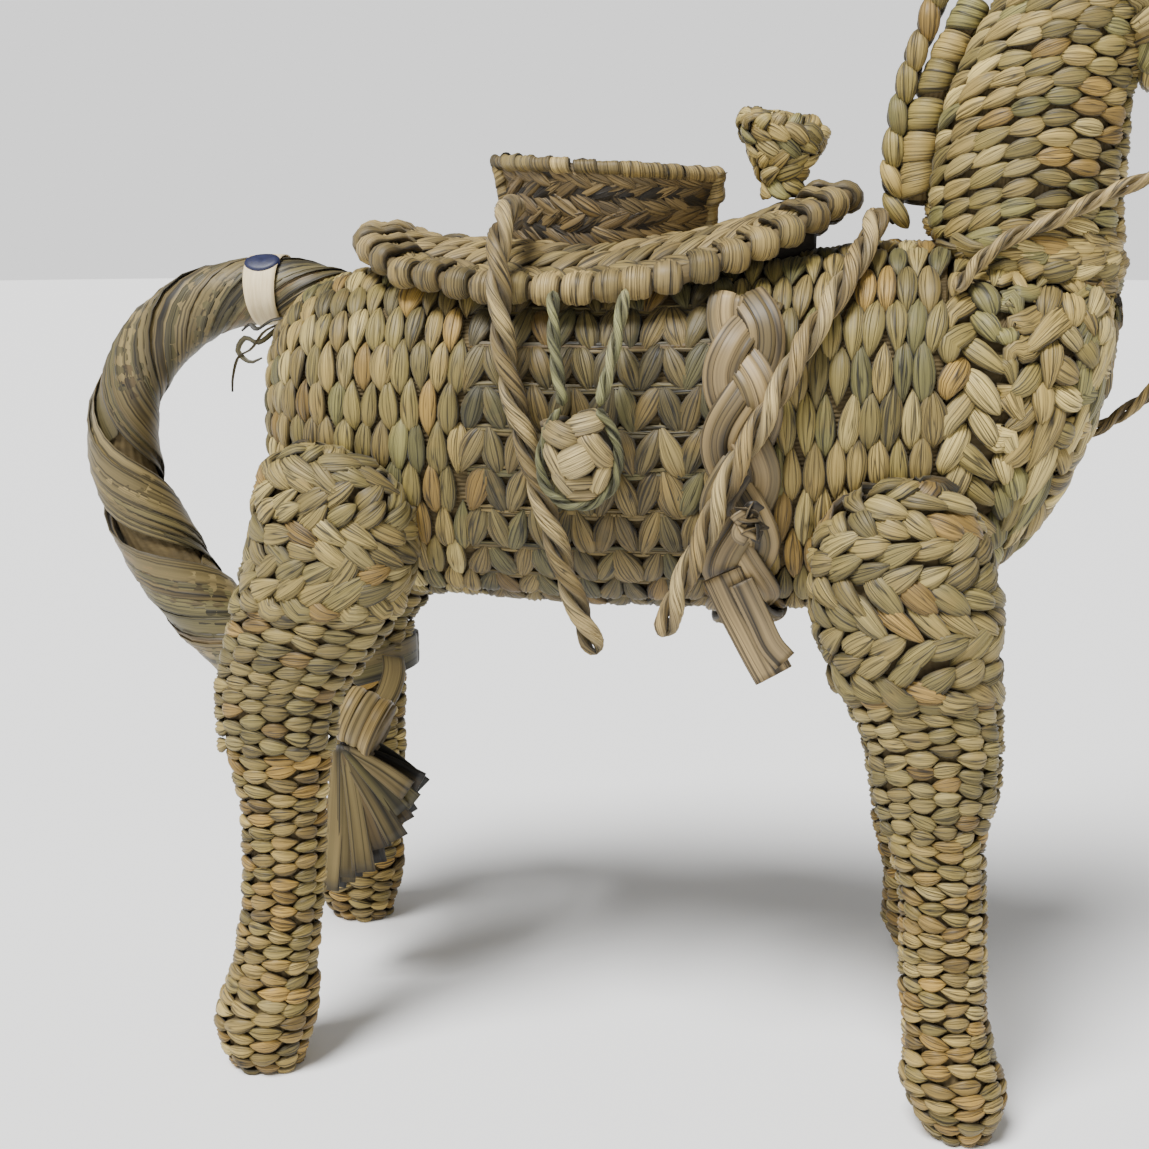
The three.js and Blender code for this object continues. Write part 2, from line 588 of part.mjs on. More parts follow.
function buildStirrups() {
  for (const [place, side] of [['near', -1], ['far', 1]]) {
    const [x, y, z] = STIRRUP_CENTRE;
    const knot = STIRRUP.map(([rise, a, b]) => {
      return ring(new THREE.Vector3(x, side * y, z + rise), AXIS_X, AXIS_Y, a, b, 14, 2.4);
    });
    add(`${place}_stirrup`, skin(knot), 'cream');
    for (const [end, route] of Object.entries(STIRRUP_CORDS)) {
      const points = route.map(([px, py, pz]) => new THREE.Vector3(px, side * py, pz));
      add(`${place}_stirrup_${end}_cord`, tube(points, STIRRUP_CORD_R, 8, 6), 'green');
    }
  }
}

buildBody();
buildHead();
buildMane();
buildLegs();
buildTail();
buildSaddle();
buildGirth();
buildRopes();
buildStirrups();

export default horse;
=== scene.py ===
"""A woven rush horse with a saddle: every stitch, leaf and rope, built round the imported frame.

Lengths are in millimetres until a mesh is made, where they become metres.
"""
import json
import math
import zlib

import bpy
import numpy as np
from mathutils.bvhtree import BVHTree
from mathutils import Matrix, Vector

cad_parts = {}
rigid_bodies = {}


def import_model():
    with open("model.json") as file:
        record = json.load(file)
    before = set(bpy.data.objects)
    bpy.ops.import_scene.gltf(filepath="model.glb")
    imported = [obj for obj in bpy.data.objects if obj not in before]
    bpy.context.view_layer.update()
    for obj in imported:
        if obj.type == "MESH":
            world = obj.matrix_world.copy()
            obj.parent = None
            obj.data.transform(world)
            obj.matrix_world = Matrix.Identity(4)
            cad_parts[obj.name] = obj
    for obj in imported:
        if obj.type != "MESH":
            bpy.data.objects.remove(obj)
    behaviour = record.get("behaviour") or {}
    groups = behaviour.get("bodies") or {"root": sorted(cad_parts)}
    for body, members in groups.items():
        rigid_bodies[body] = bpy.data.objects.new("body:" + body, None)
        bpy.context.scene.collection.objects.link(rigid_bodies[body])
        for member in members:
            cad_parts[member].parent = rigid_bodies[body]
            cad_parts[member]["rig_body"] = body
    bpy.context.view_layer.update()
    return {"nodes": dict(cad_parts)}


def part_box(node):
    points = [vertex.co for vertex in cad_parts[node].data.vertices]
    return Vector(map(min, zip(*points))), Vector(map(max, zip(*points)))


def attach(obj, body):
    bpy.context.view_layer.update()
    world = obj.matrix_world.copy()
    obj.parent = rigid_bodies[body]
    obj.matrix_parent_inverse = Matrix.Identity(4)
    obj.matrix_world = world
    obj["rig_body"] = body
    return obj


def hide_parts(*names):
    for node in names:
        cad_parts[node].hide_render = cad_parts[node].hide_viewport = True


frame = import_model()

MM = 0.001
GROUND = 0.2
NEAR, FAR = -1, 1
SIDES = {"near": NEAR, "far": FAR}


# ------------------------------------------------------------------ camera, floor and light

def make_camera():
    data = bpy.data.cameras.new("camera")
    data.sensor_width = 36
    data.lens = 50.44
    camera = bpy.data.objects.new("camera", data)
    camera.location = (0.11545, -0.71933, 0.3840)
    camera.rotation_euler = (math.radians(90 - 12.76), 0, math.radians(11.16))
    bpy.context.collection.objects.link(camera)
    bpy.context.scene.camera = camera


def make_floor():
    bpy.ops.mesh.primitive_circle_add(vertices=96, radius=9, fill_type="NGON")
    floor = bpy.context.object
    floor.name = "floor"
    material = bpy.data.materials.new("floor")
    material.use_nodes = True
    shader = material.node_tree.nodes["Principled BSDF"]
    shader.inputs["Base Color"].default_value = (0.9, 0.9, 0.895, 1)
    shader.inputs["Roughness"].default_value = 0.9
    floor.data.materials.append(material)


def make_lights():
    """A pale studio: a broad soft light from above and the front, and a dim sky that fills the shade."""
    world = bpy.data.worlds.new("studio")
    bpy.context.scene.world = world
    world.use_nodes = True
    nodes, links = world.node_tree.nodes, world.node_tree.links
    way = nodes.new("ShaderNodeTexCoord")
    split = nodes.new("ShaderNodeSeparateXYZ")
    ramp = nodes.new("ShaderNodeValToRGB")
    ramp.color_ramp.elements[0].position = 0.12
    ramp.color_ramp.elements[0].color = (1, 1, 1, 1)
    ramp.color_ramp.elements[1].position = 0.42
    ramp.color_ramp.elements[1].color = (0.2, 0.2, 0.2, 1)
    links.new(way.outputs["Generated"], split.inputs["Vector"])
    links.new(split.outputs["Z"], ramp.inputs["Fac"])
    links.new(ramp.outputs["Color"], nodes["Background"].inputs["Color"])
    nodes["Background"].inputs["Strength"].default_value = 1.3
    data = bpy.data.lights.new("studio_light", "SUN")
    data.energy = 6.9
    data.angle = math.radians(24)
    light = bpy.data.objects.new("studio_light", data)
    light.rotation_euler = (math.radians(27), math.radians(-16), 0)
    bpy.context.collection.objects.link(light)


make_camera()
make_floor()
make_lights()


# ------------------------------------------------------------------ colour and materials

def linear(colour):
    """A colour of 0 to 255 per channel as linear light."""
    share = np.asarray(colour, float) / 255
    return np.where(share <= 0.04045, share / 12.92, ((share + 0.055) / 1.055) ** 2.4)


STRAW, PALE, OLIVE = (170, 145, 78), (208, 184, 112), (138, 122, 62)
GREEN, OCHRE = (120, 118, 66), (168, 130, 52)
OWN_SHARE = 0.72
DULLEST, BRIGHTEST = 0.5, 1.1
TONES = {
    "weave": [STRAW] * 5 + [PALE] * 3 + [OLIVE] * 5 + [GREEN] * 2 + [OCHRE],
    "ends": (
        [(155, 132, 71)] * 5 + [(189, 168, 102)] * 2 + [(125, 111, 56)] * 5 + [(109, 108, 60)] * 2
        + [(153, 118, 47)]
    ),
    # Darker copy of the straw tones: painted shade of the saddle over the middle of the barrel.
    "shaded_flank": (
        [(115, 97, 53)] * 4 + [(130, 113, 66)] * 2 + [(96, 85, 46)] * 5 + [(83, 81, 47)] * 2 + [(119, 91, 37)]
    ),
    "leg": [(148, 129, 72)] * 6 + [(164, 146, 88)] * 2 + [(126, 113, 62)] * 5 + [(150, 116, 52)],
    "shin": [STRAW] * 3 + [PALE] + [OLIVE] * 3 + [OCHRE] * 2 + [(144, 116, 54)] * 2,
    "tail": [(128, 112, 70), (112, 102, 62), (98, 92, 56), (142, 124, 80), (120, 98, 60)],
    "rope": [(184, 158, 100), (196, 172, 116), (164, 138, 84), (174, 148, 90)],
    "girth": [(155, 132, 89), (138, 117, 76), (169, 146, 103), (122, 105, 65)],
    "mat": [(153, 131, 77), (138, 118, 68), (123, 107, 61), (171, 147, 92)],
    # Darker than the weave: painted shade for the cantle's outward-leaning face.
    "cantle": [(126, 106, 66), (112, 92, 56), (140, 118, 74)],
    "green": [(142, 140, 92), (154, 148, 100), (128, 126, 80)],
    "cream": [(175, 153, 99), (164, 142, 88), (185, 164, 110)],
}


def tints(tone, count, rng):
    """One linear colour for each strand, picked from a tone and varied a little."""
    palette = linear(TONES[tone])
    picked = palette[rng.integers(0, len(palette), count)]
    mixed = picked * OWN_SHARE + palette.mean(0) * (1 - OWN_SHARE)
    return mixed * rng.uniform(DULLEST, BRIGHTEST, (count, 1))


def opaque(colour):
    return (*linear(colour), 1)


class Nodes:
    """Short calls for building one material's nodes."""

    def __init__(self, name):
        self.material = bpy.data.materials.new(name)
        self.material.use_nodes = True
        self.tree = self.material.node_tree
        self.shader = self.tree.nodes["Principled BSDF"]

    def feed(self, node, inputs):
        """Gives each input its value, or links it to the socket given."""
        for key, value in inputs.items():
            if isinstance(value, bpy.types.NodeSocket):
                self.tree.links.new(value, node.inputs[key])
            else:
                node.inputs[key].default_value = value

    def add(self, kind, inputs, output=0, **settings):
        """A node's output socket."""
        node = self.tree.nodes.new("ShaderNode" + kind)
        for key, value in settings.items():
            setattr(node, key, value)
        self.feed(node, inputs)
        return node.outputs[output]

    def noise(self, vector, scale, detail, roughness):
        scaled = self.add("VectorMath", {0: vector, 1: scale}, operation="MULTIPLY")
        inputs = {"Scale": 1, "Detail": detail, "Roughness": roughness, "Vector": scaled}
        return self.add("TexNoise", inputs, "Fac")

    def ramp(self, source, stops):
        """Greys by the source's value: stops are (position, grey)."""
        node = self.tree.nodes.new("ShaderNodeValToRGB")
        while len(node.color_ramp.elements) < len(stops):
            node.color_ramp.elements.new(0.5)
        for element, (position, grey) in zip(node.color_ramp.elements, stops):
            element.position = position
            element.color = (grey, grey, grey, 1)
        self.feed(node, {"Fac": source})
        return node.outputs["Color"]

    def maths(self, operation, *values):
        return self.add("Math", dict(enumerate(values)), operation=operation)

    def mix(self, share, a, b, **settings):
        """Colour a turned towards b by a share, or multiplied by it."""
        return self.add("Mix", {"Factor": share, "A": a, "B": b}, "Result", data_type="RGBA", **settings)

    def bump(self, height, strength, distance):
        inputs = {"Strength": strength, "Distance": distance * MM, "Height": height}
        self.feed(self.shader, {"Normal": self.add("Bump", inputs, "Normal")})


def straw_material(name, crease=0.8, rough=0.55, fibre=2.2, patch=(140, 112, 54), bump=0.6, run=1.0):
    """Dried leaf: fibres and dark lines of painted shade in the creases run along each strand, patches wander
    over it.

    The mesh carries two point attributes: strand (along, across, seed) and tint (a colour with painted shade
    darkening each strand's ends and sides).
    """
    made = Nodes(name)
    strand = made.add("Attribute", {}, "Vector", attribute_name="strand")
    tint = made.add("Attribute", {}, "Color", attribute_name="tint")
    fibres = made.noise(strand, (0.04 * run, fibre, 1), 3, 0.6)
    wide_lines = made.noise(strand, (0.018 * run, crease, 1), 1, 0.4)
    fine_lines = made.noise(strand, (0.03 * run, crease * 2.1, 3), 0, 0.4)
    patches = made.noise(strand, (0.09 * run, 0.12, 1), 2, 0.5)
    grain = made.ramp(fibres, [(0.25, 0.5), (0.5, 0.95), (0.72, 1.3)])
    # The two ramps below are painted shade: narrow dark lines where the leaf's creases fall into shade.
    folds = made.ramp(wide_lines, [(0.0, 1), (0.43, 1), (0.475, 0.1), (0.52, 1), (1.0, 1)])
    fine_crease_shade = made.ramp(fine_lines, [(0.0, 1), (0.445, 1), (0.49, 0.3), (0.535, 1), (1.0, 1)])
    warm = made.maths("MULTIPLY", made.ramp(patches, [(0.54, 0), (0.72, 1)]), 0.28)
    colour = made.mix(warm, tint, opaque(patch))
    for layer in (grain, folds, fine_crease_shade):
        colour = made.mix(1, colour, layer, blend_type="MULTIPLY")
    made.feed(made.shader, {
        "Base Color": colour,
        "Roughness": made.maths("MULTIPLY_ADD", fibres, 0.25, rough - 0.12),
        "Specular IOR Level": 0.4,
        "Sheen Weight": 0.06,
    })
    height = made.maths("ADD", made.maths("MULTIPLY", fibres, 0.5), folds)
    made.bump(made.maths("ADD", height, made.maths("MULTIPLY", fine_crease_shade, 0.4)), bump, 0.4)
    return made.material


def warp_material(name, colour):
    """Dark ribs behind the stitches: leaf colour darkened as painted shade for the gaps they lie in."""
    made = Nodes(name)
    mottle = made.noise(made.add("TexCoord", {}, "Object"), (90, 90, 220), 3, 0.6)
    shade = made.ramp(mottle, [(0.3, 0.5), (0.7, 1)])
    base = made.mix(1, shade, opaque(colour), blend_type="MULTIPLY")
    made.feed(made.shader, {"Base Color": base, "Roughness": 0.85})
    made.bump(mottle, 0.6, 0.5)
    return made.material


def speckled_material(name, colour, dark, scale, rough, metal=0.0, bump=0.4):
    """A plain base with small dark speckle: paper, wire or chopped straw."""
    made = Nodes(name)
    speckle = made.noise(made.add("TexCoord", {}, "Object"), scale, 4, 0.65)
    base = made.mix(made.ramp(speckle, [(0.3, 0), (0.62, 1)]), opaque(dark), opaque(colour))
    made.feed(made.shader, {"Base Color": base, "Roughness": rough, "Metallic": metal})
    made.bump(speckle, bump, 0.2)
    return made.material


STRAWS = {
    "rush_weave": {},
    "coarse_braid": {"crease": 0.72},
    "flat_leaf": {
        "crease": 0.2, "rough": 0.5, "fibre": 1.4, "bump": 0.4, "patch": (112, 90, 50), "run": 0.12,
    },
    "twisted_rope": {"patch": (150, 124, 84)},
    "green_cord": {"crease": 1.6, "fibre": 3.5, "patch": (120, 122, 80)},
    "cream_braid": {"crease": 1.0, "patch": (178, 150, 104)},
}
SPECKLES = {
    "paper_label": ((226, 208, 166), (205, 184, 140), (900, 60, 60), 0.6),
    "wire": ((150, 148, 142), (92, 84, 74), (300, 300, 300), 0.38, 1.0, 0.1),
    "stuffing": ((196, 172, 112), (112, 90, 48), (60, 420, 420), 0.8, 0.0, 1.0),
    "sticker": ((22, 28, 66), (16, 20, 48), (500, 500, 500), 0.5),
}
# Painted shade: the warp colour is leaf darkened for the gaps behind the stitches; the second is a near-black
# sheet of shade.
WARPS = {"warp": (100, 84, 50), "painted_shade": (34, 27, 16)}
MATERIALS = {name: straw_material(name, **look) for name, look in STRAWS.items()}
MATERIALS |= {name: speckled_material(name, *look) for name, look in SPECKLES.items()}
MATERIALS |= {name: warp_material(name, colour) for name, colour in WARPS.items()}


# ------------------------------------------------------------------ curves and frames

def unit(vectors):
    return vectors / np.maximum(np.linalg.norm(vectors, axis=-1, keepdims=True), 1e-9)


def turns(count):
    """Angles all the way round, evenly spaced."""
    return np.linspace(0, 2 * np.pi, count, endpoint=False)


def eased(count):
    """Steps from -1 to 1 that are closer together near the ends."""
    return np.sin(np.linspace(-np.pi / 2, np.pi / 2, count))


def distances(line):
    """How far along a line each of its points lies."""
    return np.r_[0, np.cumsum(np.linalg.norm(np.diff(line, axis=0), axis=1))]


def resample(line, count):
    """A line's points, spaced evenly."""
    along = distances(line)
    wanted = np.linspace(0, along[-1], count)
    return np.stack([np.interp(wanted, along, column) for column in line.T], 1)


def spline(points, count):
    """Evenly spaced points of the smooth curve through the given ones."""
    p = np.asarray(points, float)
    p = np.vstack([2 * p[0] - p[1], p, 2 * p[-1] - p[-2]])
    t = np.linspace(0, 1, 12, endpoint=False)[:, None]
    fine = [
        0.5 * (2 * b + (c - a) * t + (2 * a - 5 * b + 4 * c - d) * t**2 + (3 * b - a - 3 * c + d) * t**3)
        for a, b, c, d in zip(p[:-3], p[1:-2], p[2:-1], p[3:])
    ]
    return resample(np.vstack([*fine, p[-2:-1]]), count)


def carried_normals(line, start):
    """Unit normals that turn as little as they can along a line."""
    tangents = unit(np.gradient(line, axis=0))
    normal = np.asarray(start, float)
    normals = []
    for tangent in tangents:
        normal = unit(normal - tangent * (normal @ tangent))
        normals.append(normal)
    return np.array(normals)


# ------------------------------------------------------------------ strands and pieces

TOP_POINTS, BOTTOM_POINTS = 13, 5
ROUND = np.r_[np.linspace(0, np.pi, TOP_POINTS), np.linspace(np.pi, 2 * np.pi, BOTTOM_POINTS + 2)[1:-1]]
RING = len(ROUND)
TIP_SHADE = 5
MOST_SEED = 900


def strands(centres, normals, half_width, top, bottom, rng, folds=0.3, square=0.8):
    """Closed leaf strands: (count, stations, ring, xyz) from centre lines, normals and sizes."""
    tangents = unit(np.gradient(centres, axis=1))
    side = unit(np.cross(tangents, normals))
    up = np.cross(side, tangents)
    cosine, sine = np.cos(ROUND), np.sin(ROUND)
    across = np.sign(cosine) * np.abs(cosine) ** square
    height = np.sign(sine) * np.abs(sine) ** square
    count = len(centres)
    crease = 1 - folds * rng.uniform(0, 1.4, (count, 1, RING)) * (np.arange(RING) % 2)
    x = half_width[..., None] * across * (1 - 0.25 * (1 - crease))
    z = np.where(height > 0, top[..., None], bottom[..., None]) * height * crease
    return centres[:, :, None] + side[:, :, None] * x[..., None] + up[:, :, None] * z[..., None]


class Bundle:
    """Strands that become one mesh. tip and edge are how much painted shade darkens their ends and sides."""

    def __init__(self, tip=0.74, edge=0.88):
        self.groups = []
        self.tip = tip
        self.edge = edge

    def add(self, points, tone, rng):
        """points is (count, stations, ring, xyz); each strand gets a colour of the tone."""
        colour = tints(tone, len(points), rng)
        self.groups.append((points, colour, rng.uniform(0, MOST_SEED, len(points))))
        return self

    def leaf(self, line, normals, half, top, bottom, tone, rng, folds, square):
        """One strand along a line. Its normals and sizes may be one value for the whole line."""
        normals = np.broadcast_to(normals, line.shape)
        sizes = [np.broadcast_to(size, len(line))[None] for size in (half, top, bottom)]
        return self.add(strands(line[None], normals[None], *sizes, rng, folds, square), tone, rng)

    def arrays(self):
        """Vertices, faces as rows of corners, the strand attribute and the tint."""
        vertices, quads, caps, strand, tint = [], [], [], [], []
        start = 0
        for points, colour, seed in self.groups:
            count, stations, ring, _ = points.shape
            index = start + np.arange(count * stations * ring).reshape(count, stations, ring)
            quads.append(wrap_faces(index))
            caps += [index[:, 0, ::-1], index[:, -1]]
            centre = points.mean(2)
            steps = np.linalg.norm(np.diff(centre, axis=1), axis=-1)
            along = np.concatenate([np.zeros((count, 1)), np.cumsum(steps, 1)], 1)
            width = np.linalg.norm(points[:, :, 0] - points[:, :, TOP_POINTS - 1], axis=-1).max(1)
            across = ROUND[None, :] / np.pi * width[:, None]
            shape = (count, stations, ring)
            strand.append(np.stack([
                np.broadcast_to(along[:, :, None], shape),
                np.broadcast_to(across[:, None], shape),
                np.broadcast_to(seed[:, None, None], shape),
            ], -1).reshape(-1, 3))
            # Painted shade: darker towards a strand's ends, where it dives under its neighbours, and on its
            # sides and underside.
            near_tip = np.abs(np.linspace(-1, 1, stations)) ** TIP_SHADE
            under = 0.5 - 0.5 * np.clip(np.sin(ROUND) * 2 - 0.7, -1, 1)
            shade = (1 - self.tip * near_tip[:, None]) * (1 - self.edge * under[None])
            tint.append((colour[:, None, None] * shade[None, ..., None]).reshape(-1, 3))
            vertices.append(points.reshape(-1, 3))
            start += count * stations * ring
        return [np.concatenate(part) for part in (vertices, quads, caps, strand, tint)]


def wrap_faces(index):
    """Faces between the rows of a grid of vertex numbers whose columns close into rings."""
    after = np.roll(index, -1, -1)
    corners = [index[..., :-1, :], after[..., :-1, :], after[..., 1:, :], index[..., 1:, :]]
    return np.stack(corners, -1).reshape(-1, 4)


def numbered(rows, columns):
    return np.arange(rows * columns).reshape(rows, columns)


def mesh_of(name, vertices, faces, attributes=()):
    """A smooth mesh in metres, no lower than the ground. faces is a list of (number, corners) arrays."""
    mesh = bpy.data.meshes.new(name)
    mesh.vertices.add(len(vertices))
    vertices = np.column_stack([vertices[:, :2], np.maximum(vertices[:, 2], GROUND)])
    mesh.vertices.foreach_set("co", (vertices * MM).astype(np.float32).ravel())
    corners = np.concatenate([part.ravel() for part in faces])
    sizes = np.concatenate([np.full(len(part), part.shape[1]) for part in faces])
    mesh.loops.add(len(corners))
    mesh.loops.foreach_set("vertex_index", corners.astype(np.int32))
    mesh.polygons.add(len(sizes))
    mesh.polygons.foreach_set("loop_start", np.r_[0, np.cumsum(sizes)[:-1]].astype(np.int32))
    mesh.polygons.foreach_set("use_smooth", np.ones(len(sizes), bool))
    mesh.update(calc_edges=True)
    for label, kind, values in attributes:
        layer = mesh.attributes.new(label, kind, "POINT")
        field = "color" if kind == "FLOAT_COLOR" else "vector"
        layer.data.foreach_set(field, values.astype(np.float32).ravel())
    return mesh


def place(name, mesh, nodes, slot, material=None):
    """Makes the mesh a piece that rides with, and stands for, its CAD nodes."""
    nodes = [nodes] if isinstance(nodes, str) else list(nodes)
    mesh.materials.append(MATERIALS[material or slot])
    piece = bpy.data.objects.new(name, mesh)
    bpy.context.collection.objects.link(piece)
    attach(piece, frame["nodes"][nodes[0]]["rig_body"])
    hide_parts(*nodes)
    return piece


def finish_bundle(name, bundle, nodes, slot):
    vertices, quads, caps, strand, tint = bundle.arrays()
    colour = np.concatenate([tint, np.ones((len(tint), 1))], 1)
    attributes = [("strand", "FLOAT_VECTOR", strand), ("tint", "FLOAT_COLOR", colour)]
    return place(name, mesh_of(name, vertices, [quads, caps], attributes), nodes, slot)


def seeded(name):
    """A random generator of its own for each piece."""
    return np.random.default_rng(zlib.crc32(name.encode()))


# ------------------------------------------------------------------ skins: surfaces that strands lie on

class Skin:
    """A surface as a grid of rings. u is the distance along it, v the share of the way round or across."""

    def __init__(self, rings, closed=True, outward=None):
        self.rings = rings
        self.closed = closed
        self.mid = rings.mean(1)
        steps = np.linalg.norm(np.diff(rings, axis=0), axis=-1).mean(1)
        self.u = np.r_[0, np.cumsum(steps)]
        self.length = self.u[-1]
        wrapped = np.concatenate([rings, rings[:, :1]], 1) if closed else rings
        self.round = np.linalg.norm(np.diff(wrapped, axis=1), axis=-1).sum(1)
        along = np.gradient(rings, axis=0)
        if closed:
            around = np.roll(rings, -1, 1) - np.roll(rings, 1, 1)
        else:
            around = np.gradient(rings, axis=1)
        normals = unit(np.cross(around, along))
        out = rings - self.mid[:, None] if outward is None else np.broadcast_to(outward, rings.shape)
        if (normals * out).sum() < 0:
            normals = -normals
        self.normals = normals

    def around(self, u):
        """How far it is round the skin at u."""
        return np.interp(u, self.u, self.round)

    def u_at(self, value, axis):
        """The u where the skin's middle passes a value of x (0), y (1) or z (2)."""
        line = self.mid[:, axis]
        order = np.argsort(line)
        return float(np.interp(value, line[order], self.u[order]))

    def at(self, u, v):
        """Points and unit normals of the skin."""
        rows, columns = self.rings.shape[:2]
        i = np.interp(u, self.u, np.arange(rows))
        i0 = np.minimum(i.astype(int), rows - 2)
        fi = (i - i0)[..., None]
        if self.closed:
            j = (v % 1) * columns
            j0 = np.floor(j).astype(int) % columns
            j1 = (j0 + 1) % columns
            fj = (j - np.floor(j))[..., None]
        else:
            j = np.clip(v, 0, 1) * (columns - 1)
            j0 = np.minimum(j.astype(int), columns - 2)
            j1 = j0 + 1
            fj = (j - j0)[..., None]

        def mixed(grid):
            low = grid[i0, j0] * (1 - fj) + grid[i0, j1] * fj
            high = grid[i0 + 1, j0] * (1 - fj) + grid[i0 + 1, j1] * fj
            return low * (1 - fi) + high * fi

        return mixed(self.rings), unit(mixed(self.normals))


def node_arrays(name):
    """A CAD node's vertices in millimetres and its faces."""
    mesh = frame["nodes"][name].data
    vertices = np.empty(len(mesh.vertices) * 3, np.float32)
    mesh.vertices.foreach_get("co", vertices)
    mesh.calc_loop_triangles()
    faces = np.empty(len(mesh.loop_triangles) * 3, np.int32)
    mesh.loop_triangles.foreach_get("vertices", faces)
    return vertices.reshape(-1, 3).astype(float) / MM, faces.reshape(-1, 3)


def box_of(name):
    """A CAD node's low and high corners in millimetres."""
    return [np.array(corner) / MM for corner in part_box(name)]


def tree_of(name):
    vertices, faces = node_arrays(name)
    return BVHTree.FromPolygons(vertices.tolist(), faces.tolist())


def basis(axis, start):
    """Three unit directions: the way v starts, the way it turns, and the axis."""
    w = unit(np.asarray(axis, float))
    p = np.asarray(start, float)
    p = unit(p - w * (p @ w))
    return np.stack([p, np.cross(w, p), w])


CAST_FROM = 400
CAP_RINGS = ((0.8, 0.3), (0.45, 0.5), (0.1, 0.6))


def outer_skin(name, axis, start, rows, columns, skip=None, cap_low=False, cap_high=False, inset=0.6):
    """The outer surface of a CAD node, found from outside along an axis. skip is a stretch left out."""
    turn = basis(axis, start)
    vertices, faces = node_arrays(name)
    local = vertices @ turn.T
    tree = BVHTree.FromPolygons(local.tolist(), faces.tolist())
    edges = np.concatenate([faces[:, [0, 1]], faces[:, [1, 2]], faces[:, [2, 0]]])
    a, b = local[edges[:, 0]], local[edges[:, 1]]
    low, high = local[:, 2].min() + inset, local[:, 2].max() - inset
    stations = np.linspace(low, high, rows)
    if skip is not None:
        stations = stations[(stations < skip[0]) | (stations > skip[1])]
    rings = []
    for level in stations:
        cut = (a[:, 2] - level) * (b[:, 2] - level) < 0
        share = (level - a[cut, 2]) / (b[cut, 2] - a[cut, 2])
        crossing = a[cut] + (b[cut] - a[cut]) * share[:, None]
        centre = (crossing.min(0) + crossing.max(0)) / 2
        ring = []
        for angle in turns(columns):
            way = np.array([math.cos(angle), math.sin(angle), 0])
            hit = tree.ray_cast((centre + way * CAST_FROM).tolist(), (-way).tolist())[0]
            ring.append(centre if hit is None else np.array(hit))
        ring = np.array(ring)
        rings.append(resample(np.vstack([ring, ring[:1]]), columns + 1)[:-1])
    rings = np.array(rings)

    def capped(ring, way):
        middle = ring.mean(0)
        return np.array([middle + (ring - middle) * share + [0, 0, way * rise] for share, rise in CAP_RINGS])

    if cap_low:
        rings = np.concatenate([capped(rings[0], -1)[::-1], rings])
    if cap_high:
        rings = np.concatenate([rings, capped(rings[-1], 1)])
    return Skin(rings @ turn)


def tube_skin(points, radii, rows, columns, start=(0, 1, 0)):
    """A round skin along a smooth line whose radius changes."""
    line = spline(np.column_stack([points, radii]), rows)
    normals = carried_normals(line[:, :3], start)
    sides = np.cross(unit(np.gradient(line[:, :3], axis=0)), normals)
    angles = turns(columns)[:, None]
    way = normals[:, None] * np.cos(angles) + sides[:, None] * np.sin(angles)
    return Skin(line[:, None, :3] + way * line[:, None, 3:])


ROW_STEP = 7


def core(name, skin, node, inset, ribs, depth=0.7, slot="rush_weave", shift=None):
    """The ribbed warp behind a skin's stitches: a closed dark body a little inside it."""
    columns = ribs * 4
    rows = max(8, int(skin.length / ROW_STEP))
    u, v = np.meshgrid(np.linspace(0, skin.length, rows), np.arange(columns) / columns, indexing="ij")
    points, normals = skin.at(u, v)
    rib = np.abs(np.sin(np.pi * v * ribs))[..., None]
    points = points - normals * (inset + depth * (1 - rib))
    if shift is not None:
        points = shift(points)
    index = numbered(rows, columns)
    mesh = mesh_of(name, points.reshape(-1, 3), [wrap_faces(index), index[:1, ::-1], index[-1:]])
    place(name, mesh, node, slot, "warp")


# ------------------------------------------------------------------ weaves

def spread(u, v, du, dv, half, lift, slope=0.0, skew=0.0):
    """Stitch cells as rows: middle, half reach along and round, half width, height, tilt, skew."""
    parts = np.broadcast_arrays(u, v, du, dv, half, lift, slope, skew)
    return np.stack([part.ravel() for part in parts], 1)


def stitches(skin, u0, u1, pitch, rows, reach=1.4, zigzag=0.0, offset=0.5, wide=1.06, lift=1.6):
    """Pointed stitches that lie round the skin, stacked along u in rows that interlock."""
    count = int(round((u1 - u0) / pitch))
    i, r = np.meshgrid(np.arange(count), np.arange(rows), indexing="ij")
    u = u0 + (i + 0.5 * (1 - offset) + offset * (r % 2)) * (u1 - u0) / count
    v = (r + 0.5) / rows
    half_reach = 0.5 * reach / rows
    angle = np.radians(zigzag * np.where(i % 2, 1, -1))
    du = np.tan(angle) * half_reach * skin.around(u)
    return spread(u, v, du, half_reach, pitch / 2 * wide, lift)


TUCK = 1.7
PLAIT_SKEW = 0.2


def plaits(skin, u0, u1, strips, leaf, half, lean=38, lift=1.8, space=2.3):
    """Flat plaits round the skin, side by side: each is two rows of leaves that lean together.

    space is the step from leaf to leaf in half widths. A leaf's inner end dives under by TUCK.
    """
    width = (u1 - u0) / strips
    cells = []
    for k in range(strips):
        middle = u0 + (k + 0.5) * width
        around = float(skin.around(middle))
        count = max(3, int(round(around / (half * space))))
        way = 1 if k % 2 == 0 else -1
        angle = math.radians(lean)
        for side in (-1, 1):
            v = (np.arange(count) + 0.25 * side * way) / count
            du = side * way * leaf / 2 * math.sin(angle)
            dv = leaf / 2 * math.cos(angle) / around
            cells.append(spread(middle + side * width * 0.25, v, du, dv, half, lift, TUCK, PLAIT_SKEW))
    return np.concatenate(cells)


BOLD_WIDTH, MOST_SKEW = 1.45, 0.25


